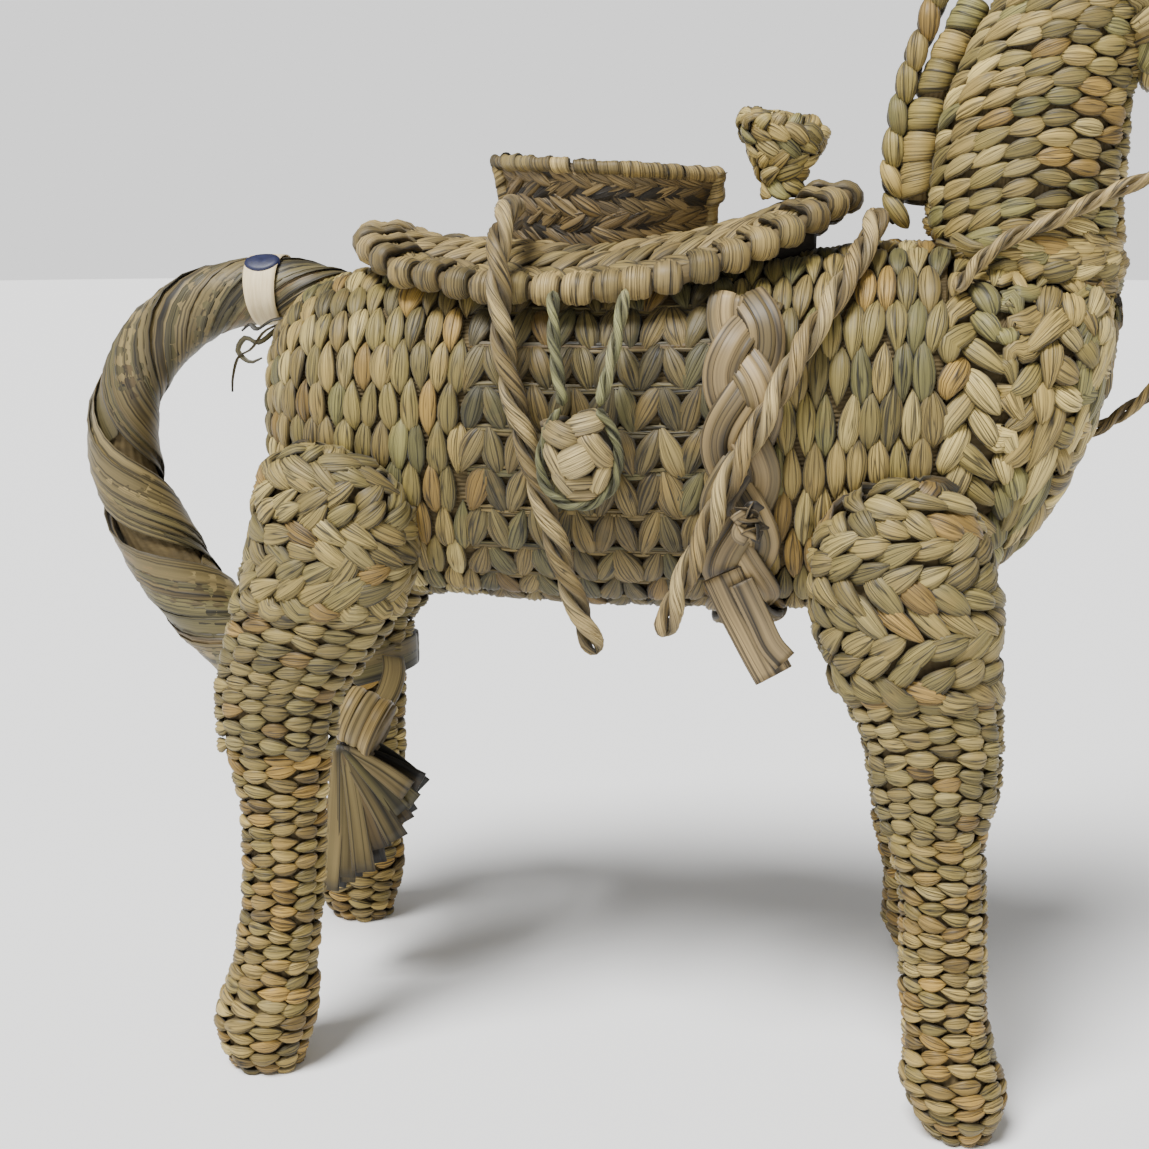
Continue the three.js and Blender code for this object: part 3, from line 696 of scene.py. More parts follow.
def jitter(cells, rng, place_by=0.5, turn=0.7, size=0.09, bold=0.0):
    """The unevenness of handwork. bold is the share of stitches that are nearly half as wide again."""
    count = len(cells)
    made = cells.copy()
    made[:, 0] += rng.normal(0, place_by, count)
    made[:, 2] += rng.normal(0, turn, count)
    made[:, 3] *= rng.uniform(1 - size, 1 + size, count)
    made[:, 4] *= rng.uniform(1 - size, 1 + size, count) * np.where(rng.random(count) < bold, BOLD_WIDTH, 1)
    made[:, 5] += rng.normal(0, 0.3, count)
    made[:, 7] += rng.uniform(-MOST_SKEW, MOST_SKEW, count)
    return made


FLAT_BACK = 2.4


def lay(skin, cells, rng, stations=11, point=0.95, thick=2.3, dive=2.8, folds=0.35):
    """Turns cells into strands on the skin. point is how sharp their ends are."""
    t = eased(stations)
    u, v, du, dv, half, lift, slope, skew = (column[:, None] for column in cells.T)
    centres, normals = skin.at(u + du * t, v + dv * t)
    bow = 1 - np.abs(t) ** FLAT_BACK
    height = (lift - thick) * bow - dive * (1 - bow) + slope * t
    moved = np.clip(t + skew * (1 - t * t), -1, 1)
    width = half * np.maximum((1 - moved**2) ** point, 0.08)
    top = thick * np.maximum(bow, 0.15) ** 0.6 * np.ones_like(half)
    return strands(centres + normals * height[..., None], normals, width, top, top * 0.6, rng, folds)


MOST_STITCHES = 260


def weave(name, skin, cells, node, slot, tone, keep=None, **shape):
    """One or more pieces of stitches on a skin. keep is a test of the stitches' middles."""
    rng = seeded(name)
    if keep is not None:
        middles, _ = skin.at(cells[:, 0], cells[:, 1])
        cells = cells[keep(middles)]
    cells = cells[np.argsort(cells[:, 0], kind="stable")]
    parts = max(1, math.ceil(len(cells) / MOST_STITCHES))
    for k, part in enumerate(np.array_split(cells, parts)):
        bundle = Bundle().add(lay(skin, part, rng, **shape), tone, rng)
        finish_bundle(name if parts == 1 else f"{name}_{k + 1:02d}", bundle, node, slot)


# ------------------------------------------------------------------ ropes

PLIES = 2


def plies(route, radius, turn, tone, rng, closed=False):
    """The strands of a twisted rope along a route, and its middle line."""
    length = distances(spline(route, 200))[-1]
    stations = max(12, int(length / 1.8))
    line = spline(route, stations)
    normals = carried_normals(line, (0.1, 0.2, 1))
    sides = np.cross(unit(np.gradient(line, axis=0)), normals)
    along = distances(line)
    ends = np.minimum(along, along[-1] - along)
    taper = np.ones(stations) if closed else np.clip(ends / (radius * 1.1), 0, 1) ** 0.5
    bundle = Bundle(tip=0, edge=0.62)
    for ply in range(PLIES):
        angle = 2 * np.pi * (ply / PLIES - along / turn)
        way = normals * np.cos(angle)[:, None] + sides * np.sin(angle)[:, None]
        swell = 1 + 0.06 * np.sin(along / 7 + rng.uniform(0, 6))
        centre = line + way * (radius * 0.5 * taper)[:, None]
        half = np.maximum(radius * 0.74 * taper * swell, 0.15)
        top = np.maximum(radius * 0.62 * taper, 0.15)
        bundle.leaf(centre, way, half, top, top * 0.8, tone, rng, 0.4, 0.9)
    return bundle, line


def twist(name, node, route, radius, turn, slot, tone, **facts):
    """A two-ply rope along a route."""
    bundle, line = plies(route, radius, turn, tone, seeded(name))
    piece = finish_bundle(name, bundle, node, slot)


def mirrored(route, side):
    """A route given as x, distance from the middle plane, z, on the near or far side."""
    return [(x, side * y, z) for x, y, z in route]


FRONT_ROPE = [
    (103, 12, 378.5), (106, 21, 380.5), (103, 33, 372.5), (98, 45.5, 361.5), (88.5, 60, 345), (79, 71.5, 329),
    (69, 77, 309), (54, 79, 281), (42, 76.5, 252), (33, 73, 232), (25, 71, 209),
]
REAR_ROPE = [
    (-50, 13.5, 383.5), (-49.2, 22, 385), (-47.5, 32, 385.3), (-46.2, 42, 385), (-45.4, 52, 382.5),
    (-45.5, 61.5, 374.5), (-44.8, 68.8, 363), (-43.5, 71.5, 348), (-42, 72.5, 331), (-38.5, 73.5, 312),
    (-33.5, 74, 295), (-28.5, 74, 276), (-22.5, 73.5, 257), (-14.5, 72, 230), (-3.1, 69.3, 199.5),
]
NEAR_REIN = [
    (138.5, 48, 352.6), (147.2, 37, 363), (158.9, 36, 372.6), (170.7, 35.5, 377.7), (181, 33.5, 382.4),
    (194.5, 30.5, 389.4), (202.7, 29.8, 392.9), (211.6, 30, 396.3), (221, 30.4, 402), (228.5, 29.8, 412),
    (232.6, 29.2, 424), (233.4, 28.8, 436), (232, 28.6, 446.5),
]
FAR_REIN = [
    (138.5, 48, 352.6), (145, 57.5, 338), (150.5, 61.5, 322), (157, 62.5, 306), (165, 61.5, 292),
    (175, 59.5, 281.5), (185, 56.5, 277.5), (194.5, 53, 279.5), (203.4, 50, 283.8), (211.5, 46, 288.2),
    (220, 42, 295.7), (228.6, 40, 303.4), (235.5, 37, 316), (240, 34.5, 335), (242, 32.5, 358),
    (242, 31, 382), (240.5, 30, 405), (237, 29.4, 425), (233.6, 29, 438), (232, 28.6, 446.5),
]
STIRRUP_CORDS = {
    "rear": [(-22, 68, 352), (-20, 75, 330), (-15.5, 80, 306.2)],
    "front": [(8, 68, 353), (5, 75, 331), (-0.5, 80, 306.2)],
}
ROPE_RADIUS, REIN_RADIUS, CORD_RADIUS = 4.8, 3, 2.6
ROPE_TURN, REIN_TURN, CORD_TURN = 44, 32, 30

for label, side in SIDES.items():
    for end, route in (("front", FRONT_ROPE), ("rear", REAR_ROPE)):
        node = f"{label}_{end}_rope"
        twist(f"{node}_twist", node, mirrored(route, side), ROPE_RADIUS, ROPE_TURN, "twisted_rope", "rope",
              far_end="bare", stiffness="limp", lay="hanging")
    for end, route in STIRRUP_CORDS.items():
        node = f"{label}_stirrup_{end}_cord"
        twist(f"{node}_twist", node, mirrored(route, side), CORD_RADIUS, CORD_TURN, "green_cord", "green",
              far_end="object", stiffness="limp", lay="hanging")
for node, route, side in (("near_rein", NEAR_REIN, NEAR), ("far_rein", FAR_REIN, FAR)):
    twist(f"{node}_twist", node, mirrored(route, side), REIN_RADIUS, REIN_TURN, "twisted_rope", "rope",
          far_end="object", stiffness="limp", lay="loose")


# ------------------------------------------------------------------ barrel

HATCH_X, HATCH_Y, HATCH_DEPTH = (27, 78), 25, 14
HATCH_BOTTOM, HATCH_EDGE, MOST_IN_HATCH = 330, 5, 0.2


def hatch_share(points):
    """1 inside the unwoven gap in the back, 0 outside it, with soft edges."""
    x, y, z = points[..., 0], points[..., 1], points[..., 2]
    in_x = np.clip(np.minimum(x - HATCH_X[0], HATCH_X[1] - x) / HATCH_EDGE, 0, 1)
    in_y = np.clip((HATCH_Y - np.abs(y)) / HATCH_EDGE, 0, 1)
    return in_x * in_y * (z > HATCH_BOTTOM)


def dented(points):
    moved = points.copy()
    moved[..., 2] -= HATCH_DEPTH * hatch_share(points)
    return moved


barrel = outer_skin("barrel_weave", (1, 0, 0), (0, 0, -1), 64, 120, skip=(23, 82), cap_low=True)
MIDDLE_FROM, MIDDLE_TO, MIDDLE_ROWS = barrel.u_at(-62, 0), barrel.u_at(50, 0), 26
end_cells = np.concatenate([
    stitches(barrel, 3, MIDDLE_FROM, 8.8, 26),
    stitches(barrel, MIDDLE_TO, barrel.length - 1, 8.8, 24),
])
middle_cells = stitches(barrel, MIDDLE_FROM, MIDDLE_TO, 9.6, MIDDLE_ROWS, reach=1.27, zigzag=18, offset=0,
                        wide=1.12)


def outside_hatch(points):
    return hatch_share(points) < 0.5


def warp_bands():
    """Flat warps, three to a row, that show between the stitches in the middle of the barrel."""
    rng = seeded("bands")
    bundle = Bundle(tip=0, edge=0.7)
    stations = 36
    u = np.linspace(MIDDLE_FROM + 2, MIDDLE_TO - 2, stations)
    around = float(barrel.around(u.mean()))
    for row in range(MIDDLE_ROWS):
        for aside in (-1.5, 0.1, 1.7):
            wave = 0.35 * np.sin(u / 9 + rng.uniform(0, 6))
            points, normals = barrel.at(u, np.full(stations, row / MIDDLE_ROWS) + (aside + wave) / around)
            if hatch_share(points).max() > MOST_IN_HATCH:
                continue
            centre = points + normals * rng.uniform(-2, -1.5)
            bundle.leaf(centre, normals, 0.95, 0.95, 0.95, "shaded_flank", rng, 0.3, 0.8)
    finish_bundle("barrel_warp_bands", bundle, "barrel_weave", "rush_weave")


core("barrel_warp", barrel, "barrel_weave", 3.4, 240, 0.8, shift=dented)
weave("barrel_end_stitches", barrel, jitter(end_cells, seeded("barrel_ends"), bold=0.05),
      "barrel_weave", "rush_weave", "ends", keep=outside_hatch)
weave("barrel_middle_stitches", barrel, jitter(middle_cells, seeded("barrel_middle"), bold=0.05),
      "barrel_weave", "rush_weave", "shaded_flank", keep=outside_hatch, thick=2.4, dive=3)
warp_bands()


# ------------------------------------------------------------------ chest, neck and head

chest = outer_skin("chest_braid", (1, 0, 0), (0, 0, -1), 26, 110, cap_high=True)
core("chest_warp", chest, "chest_braid", 4.6, 120, slot="coarse_braid")
chest_cells = np.concatenate([
    plaits(chest, -2, chest.length - 4, 5, 24, 5.5, lean=38, space=2.6),
    plaits(chest, chest.length - 46, chest.length - 6, 2, 22, 5.8, lean=48, lift=0.9, space=2.1),
])
weave("chest_leaves", chest, jitter(chest_cells, seeded("chest"), 1.8, 4, 0.16),
      "chest_braid", "coarse_braid", "weave", point=0.55, thick=2.6, dive=3.2)

neck = outer_skin("neck_weave", (0, 0, 1), (-1, 0.6, 0), 34, 110)
core("neck_warp", neck, "neck_weave", 3.4, 110)
COLLAR_FROM, COLLAR_TO = neck.u_at(351, 2), neck.u_at(374, 2)
THROAT_X, THROAT_Y = 196, 24
collar_cells = plaits(neck, COLLAR_FROM, COLLAR_TO, 2, 20, 5.2, lean=36, lift=2.2)
weave("collar_leaves", neck, jitter(collar_cells, seeded("collar"), 1.2, 2.5, 0.14),
      "neck_weave", "coarse_braid", "weave", point=0.55, thick=2.5, dive=2.6)
throat_cells = plaits(neck, neck.u_at(335, 2), COLLAR_FROM + 4, 1, 22, 5.4, lean=36, lift=1.4)
throat_middles, _ = neck.at(throat_cells[:, 0], throat_cells[:, 1])
throat_cells = throat_cells[(throat_middles[:, 0] > THROAT_X) & (np.abs(throat_middles[:, 1]) < THROAT_Y)]
weave("throat_leaves", neck, jitter(throat_cells, seeded("throat"), 1, 2, 0.12),
      "neck_weave", "coarse_braid", "weave", point=0.55, thick=2.6, dive=2)
neck_cells = stitches(neck, COLLAR_TO - 3, neck.length, 7.8, 17, reach=1.36)
neck_middles, _ = neck.at(neck_cells[:, 0], neck_cells[:, 1])
behind = np.interp(neck_cells[:, 0], neck.u, neck.mid[:, 0]) - neck_middles[:, 0]
neck_cells[:, 2] += np.clip(0.35 + behind / 40, 0, 1) * 5 * np.clip(-neck_middles[:, 1] / 8, -1, 1)
weave("neck_stitches", neck, jitter(neck_cells, seeded("neck"), 0.4, 1), "neck_weave", "rush_weave", "weave")

head = outer_skin("head_braid", (83, 0, -73), (0, 0, -1), 34, 90, cap_low=True, cap_high=True)
core("head_warp", head, "head_braid", 3.6, 44, slot="coarse_braid")
head_cells = plaits(head, 2, head.length - 2, 7, 22, 5.2, lean=36, space=2.5)
weave("head_leaves", head, jitter(head_cells, seeded("head"), 1.4, 3, 0.15),
      "head_braid", "coarse_braid", "weave", point=0.55, thick=2.5, dive=3)


# ------------------------------------------------------------------ legs

def leg(side_name, end):
    """One leg: coarse cap, upper sleeve, shin sleeve and hoof."""
    side = SIDES[side_name]
    prefix = f"{side_name}_{end}"
    inner = (0, -side, 0)
    cap = outer_skin(f"{prefix}_hip_cap", (0, 0, 1), inner, 22, 90, cap_high=True)
    core(f"{prefix}_cap_warp", cap, f"{prefix}_hip_cap", 4.2, 40, slot="coarse_braid")
    cells = plaits(cap, -3, cap.length - 2, 5, 23, 5.2, lean=36, space=2.4)
    cells = jitter(cells, seeded(prefix + "cap"), 1.2, 2.4, 0.12)
    weave(f"{prefix}_cap_leaves", cap, cells, f"{prefix}_hip_cap", "coarse_braid", "leg",
          point=0.6, thick=2.6, dive=3)
    for part, columns, pitch in (("thigh", 14, 7.3), ("shin", 10, 6.4), ("hoof", 10, 6.6)):
        node = f"{prefix}_{part}"
        skin = outer_skin(node, (0, 0, 1), inner, 26, 84, cap_low=part == "hoof")
        core(f"{node}_warp", skin, node, 3.2, columns * 3)
        start = 4 if part == "hoof" else 0
        cells = stitches(skin, start, skin.length + 3, pitch, columns, reach=1.3, lift=1.1)
        weave(f"{node}_stitches", skin, jitter(cells, seeded(node), 0.4, 1.1), node, "rush_weave",
              "leg" if part == "thigh" else "shin", thick=2.4, dive=2.8)


for side_name in SIDES:
    for end in ("hind", "front"):
        leg(side_name, end)


# ------------------------------------------------------------------ mane, ears and forelock

MANE_OUTER = [
    (115.5, 0, 377), (112, 0, 392), (111.5, 0, 409), (113.5, 0, 426), (117.5, 0, 442), (123, 0, 459),
    (130, 0, 477), (136, 0, 494), (142, 0, 509),
]
MANE_INNER = [(122.5, 0, 388), (123, 0, 408), (126.8, 0, 430), (134.8, 0, 450), (143, 0, 466)]
FORELOCK = [(175, 0, 537), (183, 0, 540), (196, 0, 538.5), (209, 0, 532), (219, 0, 524.5)]
FORELOCK_RADII = [4, 7.5, 8, 6, 3]


def wraps(skin, pitch, slant, lift):
    """Leaves that go right round a skin, side by side."""
    count = max(1, int(round(skin.length / pitch)))
    u = (np.arange(count) + 0.5) * skin.length / count
    return spread(u, 0.5, slant, 0.5, skin.length / count * 0.54, lift)


def wrapped(name, skin, cells, node, slot, tone, **shape):
    rng = seeded(name)
    settings = {"stations": 25, "point": 0.16, "thick": 2.2, "dive": 1.2, "folds": 0.28} | shape
    finish_bundle(name, Bundle().add(lay(skin, cells, rng, **settings), tone, rng), node, slot)


def lobes(name, route, pitch, leaf, half, node, tone, lean=18, out=3.4):
    """A chain of plump leaf lobes along a route, leaning to each side by turns."""
    rng = seeded(name)
    line = spline(route, 200)
    along = distances(line)
    way = unit(np.gradient(line, axis=0))
    count = int(along[-1] / pitch)
    bundle = Bundle()
    for face in (NEAR, FAR):
        for k in range(count):
            at = (k + 0.5 + 0.25 * (face > 0)) * along[-1] / (count + 0.4)
            i = min(int(np.searchsorted(along, at)), len(line) - 1)
            turn = math.radians(lean * (1 if face < 0 else -1) + rng.normal(0, 4))
            across = unit(np.cross(way[i], (0, 1, 0)))
            run = way[i] * math.cos(turn) + across * math.sin(turn)
            t = eased(11)[:, None]
            bow = 1 - np.abs(t) ** 2.2
            centre = line[i] + run * t * leaf / 2 + np.array([0, face, 0]) * (out * bow - 1 * t)
            width = half * np.maximum((1 - t[:, 0] ** 2) ** 0.5, 0.12) * rng.uniform(0.9, 1.1)
            top = 3 * np.maximum(bow[:, 0], 0.15) ** 0.6
            bundle.leaf(centre, (0.0, face, 0.0), width, top, top, tone, rng, 0.3, 0.9)
    finish_bundle(name, bundle, node, "coarse_braid")


lobes("mane_outer_chain", MANE_OUTER, 13, 17.5, 4.4, "mane_outer_plait", "weave")
mane_inner = tube_skin(MANE_INNER, [6.2] * len(MANE_INNER), 30, 24, (1, 0, 0))
core("mane_inner_heart", mane_inner, "mane_inner_beads", 1.2, 12, slot="coarse_braid")
cells = jitter(wraps(mane_inner, 12.8, 4.5, 2.4), seeded("mane_inner"), 0.4, 0.8)
wrapped("mane_inner_wraps", mane_inner, cells, "mane_inner_beads", "coarse_braid", "weave",
        thick=3.4, point=0.3, folds=0.15)

forelock = tube_skin(FORELOCK, FORELOCK_RADII, 24, 32)
cells = spread(forelock.length * 0.5, np.arange(12) / 12, forelock.length * 0.5, 0.09, 2.6, 1.6)
wrapped("forelock_leaves", forelock, jitter(cells, seeded("forelock"), 2, 1),
        "forelock", "flat_leaf", "weave", stations=17, point=0.5, thick=1.6)
core("forelock_heart", forelock, "forelock", 2.5, 12, slot="flat_leaf")
for label in SIDES:
    node = f"{label}_ear"
    ear = outer_skin(node, (0, 0, 1), (1, 0, 0), 16, 40, cap_high=True)
    leaves = spread(ear.length * 0.42, np.arange(7) / 7, ear.length * 0.5, 0.06, 3.6, 1.4)
    wrapped(f"{node}_leaves", ear, jitter(leaves, seeded(node), 0.8, 0.5), node, "flat_leaf", "weave",
            stations=13, point=0.5, thick=1.5)
    core(f"{node}_heart", ear, node, 1.6, 10, slot="flat_leaf")

NOSEBAND_U = head.length * 0.80
loop_v = np.linspace(0, 1, 49)
loop, loop_normals = head.at(np.full(49, NOSEBAND_U), loop_v)
bundle, _ = plies(loop + loop_normals * 1.5, 3.2, 22, "rope", seeded("noseband"), closed=True)
finish_bundle("noseband_twist", bundle, "noseband", "twisted_rope")


# ------------------------------------------------------------------ tail

TAIL = [
    (-140, 0, 346), (-165, 0, 348), (-190, 0, 345), (-214, 0, 335), (-233, 0, 318), (-246, 0, 296),
    (-249.5, 0, 271), (-243.5, 0, 246), (-232, 0, 222), (-216, 0, 199), (-196, 0, 179), (-174, 0, 163),
    (-150, 0, 149.5), (-141, 0, 145),
]
TAIL_RADII = [13, 14, 14.5, 15, 15, 15, 15.5, 16.5, 17.3, 17.5, 16.5, 15, 13, 12.5]
TAIL_TURN, GOLDEN_SHARE = 118, 0.381966

tail = tube_skin(TAIL, TAIL_RADII, 120, 48)
core("tail_heart", tail, "tail_bundle", 3, 20, slot="flat_leaf")


def tail_leaves(count, rng):
    """Long flat leaves that wind down the tail in layers, without a pattern to their ends."""
    half_length = rng.uniform(45, 80, count)
    u = np.linspace(0, tail.length, count) + rng.uniform(-9, 9, count)
    u = np.clip(u, half_length * 0.9, tail.length - half_length * 0.9)
    v = np.arange(count) * GOLDEN_SHARE + rng.uniform(0, 0.04, count)
    half = rng.uniform(5.5, 10, count)
    lift = rng.uniform(0, 1.7, count)
    return spread(u, v, half_length, -half_length / TAIL_TURN, half, lift)


rng = seeded("tail")
for k in range(3):
    leaves = lay(tail, tail_leaves(26, rng), rng, stations=33, point=0.16, thick=1.1, dive=2.4, folds=0.12)
    bundle = Bundle(tip=0.25, edge=0.72).add(leaves, "tail", rng)
    finish_bundle(f"tail_leaves_{k + 1:02d}", bundle, "tail_bundle", "flat_leaf")

BAND_START, BAND_WAY, BAND_LENGTH = np.array([-141, 0, 145]), unit(np.array([0.9, 0, -0.436])), 21
band_line = [BAND_START + BAND_WAY * (BAND_LENGTH * share) for share in (0, 0.33, 0.67, 1)]
band = tube_skin(band_line, [12, 13, 13, 14.5], 16, 40)
wrapped("tail_tie_wraps", band, jitter(wraps(band, 7, 2, 1.8), seeded("band"), 0.2), "tail_tie_band",
        "flat_leaf", "rope", stations=37, thick=1.8)
core("tail_tie_heart", band, "tail_tie_band", 1, 12, slot="flat_leaf")


def strap():
    """A flat leaf that ties the tail's end to the far hind leg."""
    rng = seeded("strap")
    low, high = box_of("far_hind_shin")
    leg_x, leg_y = -153.5, (low[1] + high[1]) / 2
    bridges = [
        [(-129, 11, 141), (-128, 28, 146), (-130, 45, 152), (-135, leg_y - 16, 156)],
        [(-140, 11, 144), (-146, 28, 144), (-157, 44, 144), (-172, leg_y - 16, 146)],
    ]
    turn = np.linspace(0, 2 * np.pi, 61)
    bundle = Bundle()
    for drop, half in ((0, 7), (5, 5.5)):
        x = 26.5 * np.cos(turn)
        line = np.column_stack([leg_x + x, leg_y + 22 * np.sin(turn), 151 - drop + 0.28 * x])
        normals = np.column_stack([np.cos(turn), np.sin(turn), np.zeros(61)])
        bundle.leaf(line, normals, half, 0.9, 0.9, "tail", rng, 0.15, 0.6)
    for bridge in bridges:
        bundle.leaf(spline(bridge, 20), (0.35, -0.2, 1), 6, 0.9, 0.9, "tail", rng, 0.15, 0.6)
    finish_bundle("tail_tie_strap", bundle, "tail_tie_band", "flat_leaf")


strap()

SHREDS = [
    [(-158, -20, 334), (-166, -22, 330), (-173, -21, 322), (-180, -20, 318), (-183, -20, 309),
     (-184, -19, 302)],
    [(-160, -19, 332), (-169, -21, 325), (-176, -20, 327), (-180, -20, 321), (-174, -21, 316),
     (-168, -21, 318)],
    [(-157, -18, 336), (-163, -20, 335), (-170, -20, 331), (-174, -19, 333), (-178, -19, 330)],
]


def shreds(name, routes, width, node, tone):
    """Thin curled ends of leaf."""
    rng = seeded(name)
    bundle = Bundle()
    for route in routes:
        line = spline(route, 18)
        half = np.interp(np.linspace(0, 1, 18), [0, 0.7, 1], [width, width, 0.4])
        normals = carried_normals(line, rng.normal(size=3))
        bundle.leaf(line, normals, half, 0.45, 0.45, tone, rng, 0.2, 0.7)
    finish_bundle(name, bundle, node, "flat_leaf")


shreds("tail_root_shreds", SHREDS, 1.3, "tail_bundle", "tail")

TASSEL_EDGE = [(-102, 107), (-106, 95), (-112, 84), (-121, 74), (-129, 65), (-138, 57), (-148, 51)]
TASSEL_LAYERS = {-9: 6, -5: 5, 2: 6, 8: 5}


def tassel():
    """Stiff flat blades that fan out of the tie, with ends cut square."""
    rng = seeded("tassel")
    bundle = Bundle()
    for layer, (y, count) in enumerate(TASSEL_LAYERS.items()):
        tips = spline([(x, 0, z) for x, z in TASSEL_EDGE], count * 2 + 1)[layer % 2::2]
        for tip in tips:
            tip = tip + [rng.uniform(-5, 0), y * 1.15 + rng.uniform(-1.5, 1.5), rng.uniform(-1, 4)]
            start = np.array([-141, y * 0.8, 128]) + [rng.uniform(-3, 3), 0, rng.uniform(-3, 3)]
            line = spline([start, start * 0.5 + tip * 0.5 + [0.8, rng.uniform(-1, 1), 0.8], tip], 12)
            face = unit(np.array([0.14 * rng.normal(), np.sign(y), 0.14 * rng.normal()]))
            half = np.interp(np.linspace(0, 1, 12), [0, 0.4, 1], [3, 4.6, rng.uniform(4.8, 6.6)])
            bundle.leaf(line, face, half, 0.8, 0.8, "tail", rng, 0.12, 0.4)
    finish_bundle("tassel_blades", bundle, "tail_tassel", "flat_leaf")


tassel()


# ------------------------------------------------------------------ label

def strip(name, skin, u0, u1, lift, node, slot):
    """A thin paper strip round a skin."""
    rows, columns, thick = 8, 64, 0.5
    u, v = np.meshgrid(np.linspace(u0, u1, rows), np.arange(columns) / columns, indexing="ij")
    points, normals = skin.at(u, v)
    outer, inner = points + normals * (lift + thick), points + normals * lift
    index = numbered(rows, columns)
    after = np.roll(index, -1, 1)
    total = index.size
    face = wrap_faces(index)
    rims = [
        np.stack([index[0] + total, after[0] + total, after[0], index[0]], -1),
        np.stack([index[-1], after[-1], after[-1] + total, index[-1] + total], -1),
    ]
    vertices = np.concatenate([outer.reshape(-1, 3), inner.reshape(-1, 3)])
    place(name, mesh_of(name, vertices, [face, face[:, ::-1] + total, *rims]), node, slot)


label_low, label_high = box_of("blank_paper_label")
LABEL_U = np.interp([-label_high[0], -label_low[0]], -tail.mid[:20, 0], tail.u[:20])
strip("paper_strip", tail, *LABEL_U, 1.6, "blank_paper_label", "paper_label")

STICKER_POINTS, STICKER_V = 48, 0.655


def sticker():
    """A blank oval sticker on the strip's upper near side."""
    turn = turns(STICKER_POINTS)
    share = np.array([0, 0.35, 0.7, 0.94, 1])[:, None]
    lift = np.array([2.9, 2.9, 2.9, 2.8, 2.2])[:, None]
    middle = (LABEL_U[0] + LABEL_U[1]) / 2
    u = middle + share * 7.6 * np.cos(turn)
    v = STICKER_V + share * 0.062 * np.sin(turn)
    points, normals = tail.at(u, v)
    points = points + normals * lift[..., None]
    index = numbered(*points.shape[:2])
    under = points[-1] - normals[-1] * 1.2
    low = index.size + np.arange(STICKER_POINTS)
    wall = np.stack([index[-1], np.roll(index[-1], -1), np.roll(low, -1), low], -1)
    vertices = np.concatenate([points.reshape(-1, 3), under])
    mesh = mesh_of("blank_sticker", vertices, [wrap_faces(index), wall, low[None, ::-1], index[:1]])
    place("blank_sticker", mesh, "blank_paper_label", "paper_label", "sticker")


sticker()


# ------------------------------------------------------------------ saddle

def sheet_heights(node, x, y, down=True):
    """Where vertical rays first meet a node, in millimetres."""
    tree = tree_of(node)
    way = (0, 0, -1) if down else (0, 0, 1)
    start = 1000 if down else -100
    heights = []
    for px, py in zip(x.ravel(), y.ravel()):
        hit = tree.ray_cast((px, py, start), way)[0]
        heights.append(np.nan if hit is None else hit[2])
    heights = np.array(heights)
    missing = np.isnan(heights)
    heights[missing] = np.interp(np.flatnonzero(missing), np.flatnonzero(~missing), heights[~missing])
    return heights.reshape(x.shape)


MAT = [(-115, 9), (-107, 25), (-90, 40), (-55, 51), (-12, 53), (26, 50), (50, 42), (70, 29), (87, 10)]
mat_x = np.linspace(MAT[0][0] + 0.5, MAT[-1][0] - 0.5, 70)
mat_outline = spline([(x, w, 0) for x, w in MAT], 400)
mat_half = np.interp(mat_x, mat_outline[:, 0], mat_outline[:, 1])
mat_share = np.linspace(-1, 1, 31)
grid_x = np.broadcast_to(mat_x, (31, 70))
grid_y = mat_share[:, None] * (mat_half - 0.6)


def open_skin(x, y, z, up):
    """A sheet's upper or lower face as a skin."""
    return Skin(np.stack([x, y, z], -1), False, (0, 0, up))


mat_top = open_skin(grid_x, grid_y, sheet_heights("saddle_mat", grid_x, grid_y), 1)
mat_under = open_skin(grid_x, grid_y, sheet_heights("saddle_mat", grid_x, grid_y, False), -1)


def mat_piece(name, skin):
    cells = jitter(plaits(skin, 1, skin.length - 1, 4, 22, 5.0, lean=32), seeded(name), 0.6, 1.2, 0.12)
    weave(name, skin, cells, "saddle_mat", "coarse_braid", "mat", point=0.55, thick=2.3, dive=1.8)


def slab(name, top, under, node, inset, material="warp"):
    """A closed dark sheet between two skins, behind their leaves."""
    upper = top.rings - top.normals * inset
    lower = under.rings - under.normals * inset
    rows, columns = upper.shape[:2]
    index = numbered(rows, columns)
    total = index.size
    face = np.stack([index[:-1, :-1], index[:-1, 1:], index[1:, 1:], index[1:, :-1]], -1).reshape(-1, 4)
    edge = np.concatenate([index[0, :-1], index[:-1, -1], index[-1, :0:-1], index[:0:-1, 0]])
    wall = np.stack([edge, edge + total, np.roll(edge, -1) + total, np.roll(edge, -1)], -1)
    vertices = np.concatenate([upper.reshape(-1, 3), lower.reshape(-1, 3)])
    mesh = mesh_of(name, vertices, [face, face[:, ::-1] + total, wall])
    place(name, mesh, node, "coarse_braid", material)


mat_piece("mat_top_leaves", mat_top)
mat_piece("mat_under_leaves", mat_under)
slab("mat_warp", mat_top, mat_under, "saddle_mat", 1.9)

# A near-black sheet under the mat's raised front: painted shade that fills the gap between the mat and the
# barrel.
pommel_x = np.broadcast_to(np.linspace(29, 80, 14), (9, 14))
pommel_y = np.linspace(-0.62, 0.62, 9)[:, None] * np.interp(pommel_x[:1], mat_x, mat_half)
under_z = sheet_heights("saddle_mat", pommel_x, pommel_y, False)
pommel_top = open_skin(pommel_x, pommel_y, under_z, 1)
pommel_low = open_skin(pommel_x, pommel_y, np.full(pommel_x.shape, 362.0), -1)
slab("pommel_shade_sheet", pommel_top, pommel_low, "saddle_mat", 0, "painted_shade")

RIM_OUT, RIM_HEART, RIM_PITCH = 5.4, 3.8, 12.6
UP = np.array([0, 0, 1.0])


